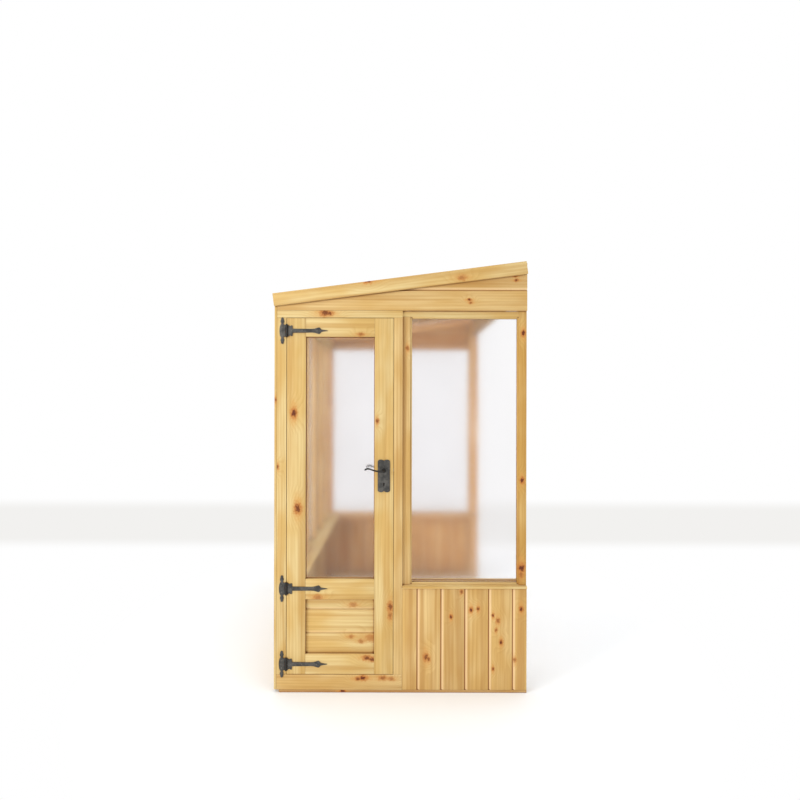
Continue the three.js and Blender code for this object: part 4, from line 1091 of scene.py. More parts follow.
def pick(piece: Piece, mode: str, wanted: Callable[[object], bool]) -> None:
    """Selects in edit mode the faces or edges that meet a condition.

    Args:
        piece: The object, which is left in edit mode.
        mode: FACE or EDGE.
        wanted: Condition on a face, or on the two ends of an edge.
    """
    only(piece)
    bpy.ops.object.mode_set(mode="EDIT")
    bpy.ops.mesh.select_mode(type=mode)
    bpy.ops.mesh.select_all(action="DESELECT")
    bpy.ops.object.mode_set(mode="OBJECT")
    mesh = piece.data
    if mode == "FACE":
        for face in mesh.polygons:
            face.select = wanted(face)
    else:
        for edge in mesh.edges:
            edge.select = wanted([mesh.vertices[index].co for index in edge.vertices])
    bpy.ops.object.mode_set(mode="EDIT")


def chamfered(piece: Piece, width: float, wanted: Callable[[Sequence[Vector]], bool]) -> Piece:
    """Chamfers the edges that meet a condition.

    Args:
        piece: The object.
        width: Width of the chamfer.
        wanted: Condition on the two ends of an edge.

    Returns:
        The same object.
    """
    pick(piece, "EDGE", wanted)
    bpy.ops.mesh.bevel(offset=width, segments=1)
    bpy.ops.object.mode_set(mode="OBJECT")
    return piece


def crown(inset: float, rise: float) -> None:
    """Insets the faces that are picked in edit mode, and moves them along Y.

    Args:
        inset: Width of the inset.
        rise: How far the faces move along Y.
    """
    bpy.ops.mesh.inset(thickness=inset)
    bpy.ops.transform.translate(value=(0.0, rise, 0.0))


def copied(piece: Piece, name: str, place: Vector, looks_along: Vector) -> Piece:
    """Copy of a piece that was modelled at the origin looking along -Y, with a mesh of its own.

    Args:
        piece: The piece to copy.
        name: The copy's name.
        place: Where the copy goes.
        looks_along: Direction in which the copy looks.

    Returns:
        The copy with its place in its mesh.
    """
    only(piece)
    bpy.ops.object.duplicate(linked=False)
    twin = bpy.context.object
    twin.name = name
    twin.location = place
    twin.rotation_mode = "QUATERNION"
    twin.rotation_quaternion = Vector((0.0, -1.0, 0.0)).rotation_difference(looks_along)
    return place_applied(twin)


def cut_away(piece: Piece, cutter: Piece) -> Piece:
    """Takes the cutter's shape out of a piece and deletes the cutter.

    Args:
        piece: The piece to cut.
        cutter: The shape to take out.

    Returns:
        The same piece.
    """
    only(piece)
    cut = piece.modifiers.new("cut", "BOOLEAN")
    cut.operation = "DIFFERENCE"
    cut.solver = "EXACT"
    cut.object = cutter
    bpy.ops.object.modifier_apply(modifier=cut.name)
    bpy.data.objects.remove(cutter, do_unlink=True)
    return piece


def surface_of(node: str, start: Point, toward: Point) -> tuple[Vector, Vector]:
    """First place that a straight line meets on a node, and the way in which the surface looks there.

    Args:
        node: The node's name.
        start: Where the line starts.
        toward: Direction of the line.

    Returns:
        The place and the normal.
    """
    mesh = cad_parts[node].data
    faces = [tuple(face.vertices) for face in mesh.polygons]
    tree = BVHTree.FromPolygons([vertex.co.copy() for vertex in mesh.vertices], faces)
    place, normal, _, _ = tree.ray_cast(Vector(start), Vector(toward))
    if place is None:
        raise ValueError(f"no surface of {node} ahead of {start}")
    return place, normal


def merged_copy(node: str, name: str) -> Piece:
    """Copy of a node of the frame with its triangles merged into flat faces.

    Args:
        node: The node's name.
        name: Name of the copy.

    Returns:
        The copy, at the origin like the node.
    """
    piece = bpy.data.objects.new(name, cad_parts[node].data.copy())
    piece.data.name = name
    bpy.context.scene.collection.objects.link(piece)
    only(piece)
    bpy.ops.object.mode_set(mode="EDIT")
    bpy.ops.mesh.select_all(action="SELECT")
    bpy.ops.mesh.customdata_custom_splitnormals_clear()
    bpy.ops.mesh.remove_doubles(threshold=MERGE_WITHIN)
    bpy.ops.mesh.dissolve_limited(angle_limit=FLAT_WITHIN)
    bpy.ops.object.mode_set(mode="OBJECT")
    return piece


def dress(piece: Piece, material: bpy.types.Material, body: str, slot: str, *nodes: str) -> Piece:
    """Gives a finished piece its material and its place in the frame.

    Args:
        piece: The finished piece.
        material: Its material.
        body: Body of the frame that it moves with.
        slot: Name of a material slot, which is only logged.
        nodes: Nodes that it stands for.

    Returns:
        The same piece.
    """
    piece.data.materials.clear()
    piece.data.materials.append(material)
    if nodes:
        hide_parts(*nodes)
    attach(piece, body)
    log.info("%s rides on %s, slot %s", piece.name, body, slot)
    return piece


def repaint(node: str, material: bpy.types.Material) -> None:
    """Gives a node of the frame a better material and leaves its mesh alone."""
    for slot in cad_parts[node].material_slots:
        slot.link = "OBJECT"
        slot.material = material
    log.info("%s keeps its shape, material %s", node, material.name)


def middle_of(node: str) -> Vector:
    """Middle of a node's box."""
    low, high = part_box(node)
    return (Vector(low) + Vector(high)) / 2


# Sub-assemblies


@dataclass
class SubAssembly:
    """Pieces of the greenhouse that are dressed together.

    Attributes:
        shop: Where the materials are made.
        body: Body of the frame that the pieces move with.
        ease: Rounding of the timbers' edges.
        metal_ease: Rounding of the ironmongery's edges.
    """

    shop: MaterialShop
    body: str = "root"
    ease: float = 1.3 * MM
    metal_ease: float = 0.8 * MM

    def timber(self, node: str, finish: PineFinish) -> Piece:
        """Softened copy of a timber with its own figure.

        Args:
            node: The timber's node.
            finish: Its grain, tone, knots and boards.

        Returns:
            The dressed copy.
        """
        piece = eased(merged_copy(node, f"{node}_planed"), self.ease)
        material = self.shop.pine(f"pine_{node}", finish, middle_of(node))
        return dress(piece, material, self.body, "pine", node)

    def build(self) -> None:
        """Models and dresses the pieces."""
        raise NotImplementedError


@dataclass
class BaseFrame(SubAssembly):
    """Plates on the ground."""

    def build(self) -> None:
        """Dresses the base plates."""
        knots = (Knot(-0.2722, 0.0074, 4.5),)
        self.timber("base_frame", PineFinish(Grain.ACROSS, 31.7, Tone.SHADED, knots))


@dataclass
class NearGable(SubAssembly):
    """Gable with the door frame, the window and the boards that the camera looks at.

    Attributes:
        first_board: Width of the board beside the door frame.
        header_joint: Joint of the boards over door and window, above their foot.
        bead_rise: Height of the bead on the sill.
        bedding: Width of the mastic at the pane's foot.
        let_in: How far the mastic reaches under the bead.
        slope: Chamfer of the mastic, as a share of its width.
    """

    first_board: float = 73.2 * MM
    header_joint: float = 100 * MM
    bead_rise: float = 8 * MM
    bedding: float = 3.5 * MM
    let_in: float = 1 * MM
    slope: float = 0.8

    def build(self) -> None:
        """Dresses the timbers and the pane of the near gable."""
        self.dress_door_frame()
        self.dress_window_frame()
        self.dress_boards()
        repaint("near_glass", self.shop.pane())
        self.bed_the_foot()

    def bed_the_foot(self) -> None:
        """Fillet of mastic between the foot of the window's pane and its bead, whose dark brown also stands
        in as painted shade at the pane's foot.
        """
        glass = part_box("near_glass")
        left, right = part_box("near_mid_post")[1].x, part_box("near_corner_post")[0].x
        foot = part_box("near_window_sill")[1].z + self.bead_rise
        low = Vector((left, glass[0].y - self.bedding, foot - self.let_in))
        high = Vector((right, glass[0].y, foot + self.bedding))
        bed = block("near_glass_bedding", low, high)

        def in_front_on_top(ends: Sequence[Vector]) -> bool:
            """Whether an edge is the upper one in front."""
            return all(end.z > foot and end.y < low.y + TOUCH for end in ends)

        chamfered(bed, self.bedding * self.slope, in_front_on_top)
        dress(bed, self.shop.mastic(), self.body, "pine")

    def dress_door_frame(self) -> None:
        """Threshold, jambs and the rail over door and window."""
        knots = (
            Knot(-0.1738, 0.0703, 6.5),
            Knot(-0.1985, 0.0665, 5.0, 0.7),
            Knot(-0.0805, 0.0703, 6.0, 0.5),
            Knot(-0.0397, 0.0657, 5.0, 0.3),
        )
        self.timber("door_threshold", PineFinish(Grain.ACROSS, 3.1, Tone.BOARD, knots))
        knots = (Knot(-0.5877, 1.0808, 4.5, 0.7),)
        self.timber("door_jamb_hinge", PineFinish(Grain.UP, 5.3, Tone.HONEY, knots))
        knots = (Knot(0.035, 1.6534, 4.5, 0.5),)
        self.timber("near_mid_post", PineFinish(Grain.UP, 8.9, Tone.BOARD, knots))
        knots = (Knot(-0.3596, 1.8198, 8.5, 0.85), Knot(-0.3385, 1.8175, 6.0, 0.8))
        self.timber("near_head_rail", PineFinish(Grain.ACROSS, 12.4, Tone.HONEY, knots))

    def dress_window_frame(self) -> None:
        """Sill and corner post."""
        self.timber("near_window_sill", PineFinish(Grain.ACROSS, 15.8, Tone.HONEY))
        knots = (
            Knot(0.5932, 1.7256, 5.5),
            Knot(0.5884, 1.0182, 5.5),
            Knot(0.5866, 0.5948, 8.0),
            Knot(0.5850, 0.5650, 6.0, 0.4),
        )
        self.timber("near_corner_post", PineFinish(Grain.UP, 19.2, Tone.DEEP, knots))

    def dress_boards(self) -> None:
        """Boards under the window and over it, and the bargeboard."""
        knots = (
            Knot(0.1264, 0.1713, 6.5, 0.7),
            Knot(0.1390, 0.1610, 4.5, 0.6),
            Knot(0.2467, 0.3638, 4.0),
            Knot(0.2973, 0.4841, 4.0, 0.6),
            Knot(0.3430, 0.3975, 4.5),
            Knot(0.3767, 0.4023, 4.0, 0.8),
            Knot(0.4488, 0.3705, 3.5, 0.9),
            Knot(0.4715, 0.3445, 5.0, 0.5),
            Knot(0.4633, 0.3012, 3.5, 0.5),
            Knot(0.4873, 0.2435, 4.5),
            Knot(0.4488, 0.1136, 3.5),
            Knot(0.5836, 0.4023, 5.0),
            Knot(0.5528, 0.1569, 4.0, 0.4),
        )
        boards = Boards((1.0, 0.0, 0.0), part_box("near_cladding")[0].x + self.first_board)
        self.timber("near_cladding", PineFinish(Grain.UP, 23.6, Tone.BOARD, knots, boards=boards))
        knots = (
            Knot(0.3309, 1.8844, 3.5),
            Knot(0.3382, 1.8699, 3.0, 0.6),
            Knot(0.5518, 2.0008, 4.0),
            Knot(0.5566, 1.9782, 3.5, 0.8),
        )
        boards = Boards((0.0, 0.0, 1.0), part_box("near_head_rail")[1].z + self.header_joint, 0.75)
        self.timber("near_gable_header", PineFinish(Grain.ACROSS, 27.5, Tone.BOARD, knots, boards=boards))
        knots = (Knot(-0.1546, 1.9764, 8.5), Knot(0.2947, 1.9864, 7.0, 0.3))
        self.timber("near_bargeboard", PineFinish(Grain.UP_THE_ROOF, 29.1, Tone.HONEY, knots))


@dataclass
class FarGable(SubAssembly):
    """Gable opposite the door.

    Attributes:
        header_joint: Joint of the boards over the window, above their foot.
        inward: Direction in which the gable's inner face looks.
    """

    header_joint: float = 100 * MM
    inward: Point = (0.0, -1.0, 0.0)

    def build(self) -> None:
        """Dresses the timbers and the panes of the far gable."""
        inward = self.inward
        knots = (Knot(-0.5450, 1.3920, 7.0, 0.5),)
        self.timber("far_low_post", PineFinish(Grain.UP, 41.3, Tone.BOARD, knots, inward=inward))
        plain = (
            ("far_house_post", Grain.UP, 44.6, Tone.HONEY),
            ("far_head_rail", Grain.UP, 47.9, Tone.BOARD),
            ("far_window_sill", Grain.ACROSS, 51.2, Tone.BOARD),
        )
        for node, grain, seed, tone in plain:
            self.timber(node, PineFinish(grain, seed, tone, scattered=0.1, inward=inward))
        boards = Boards((1.0, 0.0, 0.0), middle_of("far_cladding").x - BOARD_PITCH / 2)
        finish = PineFinish(Grain.UP, 54.5, Tone.HONEY, scattered=0.22, boards=boards, inward=inward)
        self.timber("far_cladding", finish)
        boards = Boards((0.0, 0.0, 1.0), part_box("far_head_rail")[1].z + self.header_joint)
        finish = PineFinish(Grain.ACROSS, 57.8, Tone.BOARD, scattered=0.1, boards=boards, inward=inward)
        self.timber("far_gable_header", finish)
        self.timber("far_bargeboard", PineFinish(Grain.UP_THE_ROOF, 61.1, Tone.HONEY, scattered=0.15))
        for node in ("far_glass_low", "far_glass_house"):
            repaint(node, self.shop.pane())


@dataclass
class LowWall(SubAssembly):
    """Long wall under the eaves.

    Attributes:
        bar_width: Width of the glazing bars between the posts.
        bar_chamfer: Chamfer of their inner edges.
        bar_ease: Rounding of their edges.
        behind_glass: Gap between a bar and its pane.
        short_of_post: How far a bar's inner face lies behind that of the posts.
        short_of_head: How far a bar ends under the pane's head.
        bays: Names of the bays between the posts.
        inward: Direction in which the wall's inner face looks.
    """

    bar_width: float = 22 * MM
    bar_chamfer: float = 5 * MM
    bar_ease: float = 0.8 * MM
    behind_glass: float = 0.3 * MM
    short_of_post: float = 1 * MM
    short_of_head: float = 2 * MM
    bays: tuple[str, ...] = ("near", "middle", "far")
    inward: Point = (1.0, 0.0, 0.0)

    def build(self) -> None:
        """Dresses the timbers and the panes of the low wall and adds its glazing bars."""
        for bay in self.bays:
            self.glazing_bar(f"low_glazing_bar_{bay}", middle_of(f"low_glass_{bay}").y)
        for node, seed in (("low_post_near", 71.4), ("low_post_far", 74.7)):
            self.timber(node, PineFinish(Grain.UP, seed, Tone.BOARD, scattered=0.12, inward=self.inward))
        knots = (Knot(-0.5968, 1.4032, 4.0, 0.6),)
        self.timber("corner_trim_near", PineFinish(Grain.UP, 78.2, Tone.HONEY, knots))
        plain = (
            ("corner_trim_far", Grain.UP, 81.5),
            ("low_window_sill", Grain.ALONG, 85.0),
            ("eaves_beam", Grain.ALONG, 88.3),
        )
        for node, grain, seed in plain:
            self.timber(node, PineFinish(grain, seed, Tone.HONEY, scattered=0.12))
        boards = Boards((0.0, 1.0, 0.0), middle_of("low_cladding").y - BOARD_PITCH / 2)
        self.timber("low_cladding", PineFinish(Grain.UP, 91.6, Tone.BOARD, scattered=0.25, boards=boards))
        for bay in self.bays:
            repaint(f"low_glass_{bay}", self.shop.pane())

    def glazing_bar(self, name: str, place: float) -> None:
        """Slim upright bar behind the panes, from the sill to the eaves plate.

        Args:
            name: The bar's name.
            place: Where its middle lies along the wall.
        """
        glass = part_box("low_glass_middle")
        foot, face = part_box("low_window_sill")[1].z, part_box("low_post_near")[1].x - self.short_of_post
        low = Vector((glass[1].x + self.behind_glass, place - self.bar_width / 2, foot))
        high = Vector((face, place + self.bar_width / 2, glass[1].z - self.short_of_head))

        def upright_inside(ends: Sequence[Vector]) -> bool:
            """Whether an edge stands upright on the face that looks indoors."""
            on_face = all(abs(end.x - face) < TOUCH for end in ends)
            return on_face and abs(ends[0].z - ends[1].z) > self.bar_width

        bar = chamfered(block(name, low, high), self.bar_chamfer, upright_inside)
        finish = PineFinish(Grain.UP, 95.0 + place, Tone.BOARD, inward=self.inward)
        material = self.shop.pine(f"pine_{name}", finish, (low + high) / 2)
        dress(eased(bar, self.bar_ease), material, self.body, "pine")


@dataclass
class Roof(SubAssembly):
    """Rafters, plate, panes and vent hinge of the roof.

    Attributes:
        metal_ease: Rounding of the hinge's edges.
    """

    metal_ease: float = 0.3 * MM

    def build(self) -> None:
        """Dresses the fixed pieces of the roof."""
        timbers = (
            ("ridge_plate", Grain.ALONG, 101.9),
            ("vent_trimmer", Grain.ALONG, 105.2),
            ("roof_rafter_near", Grain.UP_THE_ROOF, 108.5),
            ("roof_rafter_far", Grain.UP_THE_ROOF, 111.8),
        )
        for node, grain, seed in timbers:
            self.timber(node, PineFinish(grain, seed, Tone.SHADED, scattered=0.12))
        for bay in ("near", "middle", "far"):
            repaint(f"roof_glass_{bay}", self.shop.pane())
        leaf = eased(merged_copy("vent_hinge", "vent_hinge_leaf"), self.metal_ease)
        dress(leaf, self.shop.forged(), "root", "black_iron", "vent_hinge")


@dataclass
class RoofVent(SubAssembly):
    """Opening sash in the middle bay with its pane and stay.

    Attributes:
        body: Body of the frame that the sash moves with.
        metal_ease: Rounding of the stay's edges.
    """

    body: str = "vent"
    metal_ease: float = 0.4 * MM

    def build(self) -> None:
        """Dresses the sash, its pane and the stay."""
        self.timber("vent_sash", PineFinish(Grain.UP_THE_ROOF, 121.3, Tone.HONEY, scattered=0.12))
        repaint("vent_glass", self.shop.pane())
        stay = eased(merged_copy("vent_stay", "vent_stay_bar"), self.metal_ease)
        dress(stay, self.shop.forged(), "stay", "black_iron", "vent_stay")


@dataclass
class DoorLeaf(SubAssembly):
    """Half-glazed door with its boarded panel.

    Attributes:
        body: Body of the frame that the leaf moves with.
        panel_joint: Joint of the panel's boards above the bottom rail.
        bedding: Width of the mastic round the pane.
        slope: Chamfer of the mastic, as a share of its width.
        hand: Place on the pane beside the inner lever.
    """

    body: str = "door"
    panel_joint: float = 98 * MM
    bedding: float = 3.5 * MM
    slope: float = 0.7
    hand: Point = (-0.150, -0.8641, 1.078)

    def build(self) -> None:
        """Dresses the stiles, rails, panel and pane of the door."""
        knots = (Knot(-0.5092, 1.3386, 8.0), Knot(-0.4895, 0.8817, 9.0, 0.9))
        self.timber("door_hinge_stile", PineFinish(Grain.UP, 131.4, Tone.HONEY, knots))
        knots = (
            Knot(-0.1094, 1.3021, 4.5, 0.7),
            Knot(-0.0438, 0.4119, 7.5, 0.7),
            Knot(-0.0450, 0.3700, 6.0, 0.4),
        )
        self.timber("door_lock_stile", PineFinish(Grain.UP, 134.7, Tone.HONEY, knots))
        knots = (Knot(-0.1878, 1.7169, 5.0, 0.4),)
        self.timber("door_top_rail", PineFinish(Grain.ACROSS, 138.0, Tone.HONEY, knots))
        knots = (Knot(-0.3933, 0.4552, 7.0, 0.3),)
        self.timber("door_mid_rail", PineFinish(Grain.ACROSS, 141.3, Tone.HONEY, knots))
        knots = (Knot(-0.1575, 0.1665, 6.5, 0.8), Knot(-0.1320, 0.1590, 6.0, 0.8))
        self.timber("door_bottom_rail", PineFinish(Grain.ACROSS, 144.6, Tone.HONEY, knots))
        self.dress_panel()
        repaint("door_glass", self.shop.handled_pane(self.hand))
        self.bed_the_pane()

    def bed_the_pane(self) -> None:
        """Fillet of mastic in the corner between the pane and the leaf, whose dark brown also stands in as
        painted shade round the pane.
        """
        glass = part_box("door_glass")
        left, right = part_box("door_hinge_stile")[1].x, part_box("door_lock_stile")[0].x
        foot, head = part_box("door_mid_rail")[1].z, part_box("door_top_rail")[0].z
        clear_selection()
        middle = ((left + right) / 2, glass[0].y, (foot + head) / 2)
        bpy.ops.mesh.primitive_plane_add(size=1.0, location=middle, rotation=PIN_ALONG_Y)
        bed = bpy.context.object
        bed.name = "door_glass_bedding"
        bed.scale = (right - left, head - foot, 1.0)
        place_applied(bed)
        pick(bed, "FACE", lambda face: True)
        bpy.ops.mesh.inset(thickness=self.bedding, use_even_offset=True)
        bpy.ops.mesh.delete(type="FACE")
        bpy.ops.mesh.select_all(action="SELECT")
        move = {"value": (0.0, -self.bedding, 0.0)}
        bpy.ops.mesh.extrude_region_move(TRANSFORM_OT_translate=move)
        bpy.ops.mesh.select_all(action="SELECT")
        bpy.ops.mesh.normals_make_consistent(inside=False)
        bpy.ops.object.mode_set(mode="OBJECT")
        proud = glass[0].y - self.bedding

        def on_the_inner_rim(ends: Sequence[Vector]) -> bool:
            """Whether an edge bounds the clear glass in front."""
            return all(
                abs(end.y - proud) < TOUCH
                and left + TOUCH < end.x < right - TOUCH
                and foot + TOUCH < end.z < head - TOUCH
                for end in ends
            )

        chamfered(bed, self.bedding * self.slope, on_the_inner_rim)
        dress(bed, self.shop.mastic(), self.body, "pine")

    def dress_panel(self) -> None:
        """Panel of boards laid across the lower half of the leaf."""
        knots = (
            Knot(-0.2345, 0.2627, 4.5, 0.25),
            Knot(-0.1382, 0.2579, 8.0, 0.12),
            Knot(-0.2248, 0.4167, 6.0, 0.2),
            Knot(-0.1850, 0.2400, 5.0, 0.25),
        )
        boards = Boards((0.0, 0.0, 1.0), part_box("door_bottom_rail")[1].z + self.panel_joint, 0.45)
        self.timber("door_panel", PineFinish(Grain.ACROSS, 147.9, Tone.HONEY, knots, boards=boards))


@dataclass(frozen=True)
class SlottedScrew:
    """Raised countersunk screw head with a slot.

    Attributes:
        radius: Radius of the head.
        rise: How far the head stands up.
        slot: Width of the slot.
        sides: Number of its sides.
        crown_shares: Insets of the crown, as shares of the radius.
        crown_rise_share: Rise of the crown, as a share of the head's.
        slot_floor_share: Depth at which the slot ends, as a share of the head's rise.
    """

    radius: float = 3.4 * MM
    rise: float = 0.9 * MM
    slot: float = 0.9 * MM
    sides: int = 20
    crown_shares: tuple[float, ...] = (0.3, 0.35)
    crown_rise_share: float = 0.28
    slot_floor_share: float = 0.35

    def model(self) -> Piece:
        """Screw head at the origin that looks along -Y, half let into its surface.

        Returns:
            The screw head.
        """
        clear_selection()
        bpy.ops.mesh.primitive_cylinder_add(
            vertices=self.sides, radius=self.radius, depth=self.rise, rotation=PIN_ALONG_Y
        )
        head = place_applied(bpy.context.object)
        pick(head, "FACE", lambda face: face.normal.y < -FACING)
        for share in self.crown_shares:
            crown(self.radius * share, -self.rise * self.crown_rise_share * (1 - share))
        bpy.ops.object.mode_set(mode="OBJECT")
        past = 2 * self.radius
        low = Vector((-self.slot / 2, -past, -past))
        high = Vector((self.slot / 2, -self.rise * self.slot_floor_share, past))
        return shaded_smooth(cut_away(head, block("slot", low, high)), CREASE_OF_SMALL)


@dataclass
class Fixings(SubAssembly):
    """Screws of the ironmongery: one head is modelled and the others are its copies.

    Attributes:
        ahead: Distance from which a screw is driven towards its surface.
        hinge_plate_screws: Places across the gable, and heights from the strap's middle.
        hinge_strap_screws: Places across the gable.
        handle_plate_margins: How far the screws lie inside a handle plate's sides and ends.
    """

    ahead: float = 60 * MM
    hinge_plate_screws: tuple[tuple[float, float], ...] = ((-0.5655, 0.017), (-0.5655, -0.017))
    hinge_strap_screws: tuple[float, ...] = (-0.5215, -0.4700, -0.3980)
    handle_plate_margins: tuple[float, float] = (9 * MM, 10 * MM)

    def build(self) -> None:
        """Drives the screws of the hinges and of the handle plates."""
        head = SlottedScrew().model()
        fine = SlottedScrew(radius=2.6 * MM, rise=0.7 * MM, slot=0.7 * MM).model()
        outwards, inwards = (0.0, -1.0, 0.0), (0.0, 1.0, 0.0)
        for place in ("top", "middle", "bottom"):
            height = middle_of(f"hinge_strap_{place}").z
            for number, (x, rise) in enumerate(self.hinge_plate_screws, 1):
                self.drive(head, f"hinge_plate_{place}", number, (x, height + rise), outwards, "root")
            for number, x in enumerate(self.hinge_strap_screws, 1):
                self.drive(fine, f"hinge_strap_{place}", number, (x, height), outwards, "door")
        aside, inside = self.handle_plate_margins
        for side, outward in (("outer", outwards), ("inner", inwards)):
            low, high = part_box(f"handle_plate_{side}")
            across, heights = (low.x + aside, high.x - aside), (low.z + inside, high.z - inside)
            corners = [(x, z) for x in across for z in heights]
            for number, corner in enumerate(corners, 1):
                self.drive(fine, f"handle_plate_{side}", number, corner, outward, "door")
        for spare in (head, fine):
            bpy.data.objects.remove(spare, do_unlink=True)

    def drive(
        self, head: Piece, node: str, number: int, place: tuple[float, float], outward: Point, body: str
    ) -> None:
        """Puts a copy of a screw on an upright face of a node.

        Args:
            head: The screw to copy.
            node: Node that the screw holds.
            number: Number of the screw on that node.
            place: Its place across the gable and its height.
            outward: Direction in which the face looks.
            body: Body that the screw rides on.
        """
        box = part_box(node)
        edge = box[0].y if outward[1] < 0 else box[1].y
        start = (place[0], edge + outward[1] * self.ahead, place[1])
        into = tuple(-share for share in outward)
        surface, normal = surface_of(node, start, into)
        screw = copied(head, f"{node}_screw_{number}", surface, normal)
        dress(screw, self.shop.forged(), body, "black_iron")


@dataclass
class StrapHinges(SubAssembly):
    """Three black strap hinges.

    Attributes:
        pin: Place of the pins across the gable and in depth.
        pin_rise: Half the length of a pin.
        head_radius: Radius of a pin's head.
        head_sides: Number of its sides round the pin.
        head_rings: Number of rings of the ball that it is cut from.
        dome_share: Height of the head's dome, as a share of its radius.
        metal_ease: Rounding of the hinges' edges.
    """

    pin: tuple[float, float] = (-0.5435, -0.88865)
    pin_rise: float = 28 * MM
    head_radius: float = 5.0 * MM
    head_sides: int = 20
    head_rings: int = 12
    dome_share: float = 0.8
    metal_ease: float = 0.7 * MM

    def build(self) -> None:
        """Dresses the plates on the jamb and the straps on the leaf, and caps the pins."""
        iron = self.shop.knuckle_shaded_iron(self.pin[0])
        head = self.pin_head()
        for place in ("top", "middle", "bottom"):
            for node, body in ((f"hinge_plate_{place}", "root"), (f"hinge_strap_{place}", "door")):
                half = eased(merged_copy(node, f"{node}_forged"), self.metal_ease)
                dress(half, iron, body, "black_iron", node)
            middle = middle_of(f"hinge_strap_{place}").z
            for end, way in (("head", 1.0), ("foot", -1.0)):
                at = Vector((self.pin[0], self.pin[1], middle + way * self.pin_rise))
                cap = copied(head, f"hinge_pin_{end}_{place}", at, Vector((0.0, 0.0, way)))
                dress(cap, iron, "root", "black_iron")
        bpy.data.objects.remove(head, do_unlink=True)

    def pin_head(self) -> Piece:
        """Domed head at the origin that looks along -Y.

        Returns:
            The head.
        """
        clear_selection()
        bpy.ops.mesh.primitive_uv_sphere_add(
            segments=self.head_sides, ring_count=self.head_rings, radius=self.head_radius
        )
        dome = bpy.context.object
        dome.name = "pin_head"
        dome.scale = (1.0, self.dome_share, 1.0)
        place_applied(dome)
        pick(dome, "FACE", lambda face: True)
        origin, behind = (0.0, 0.0, 0.0), (0.0, 1.0, 0.0)
        bpy.ops.mesh.bisect(plane_co=origin, plane_no=behind, use_fill=True, clear_outer=True)
        bpy.ops.mesh.select_all(action="SELECT")
        bpy.ops.mesh.normals_make_consistent(inside=False)
        bpy.ops.object.mode_set(mode="OBJECT")
        return shaded_smooth(dome, CREASE_OF_SMALL)


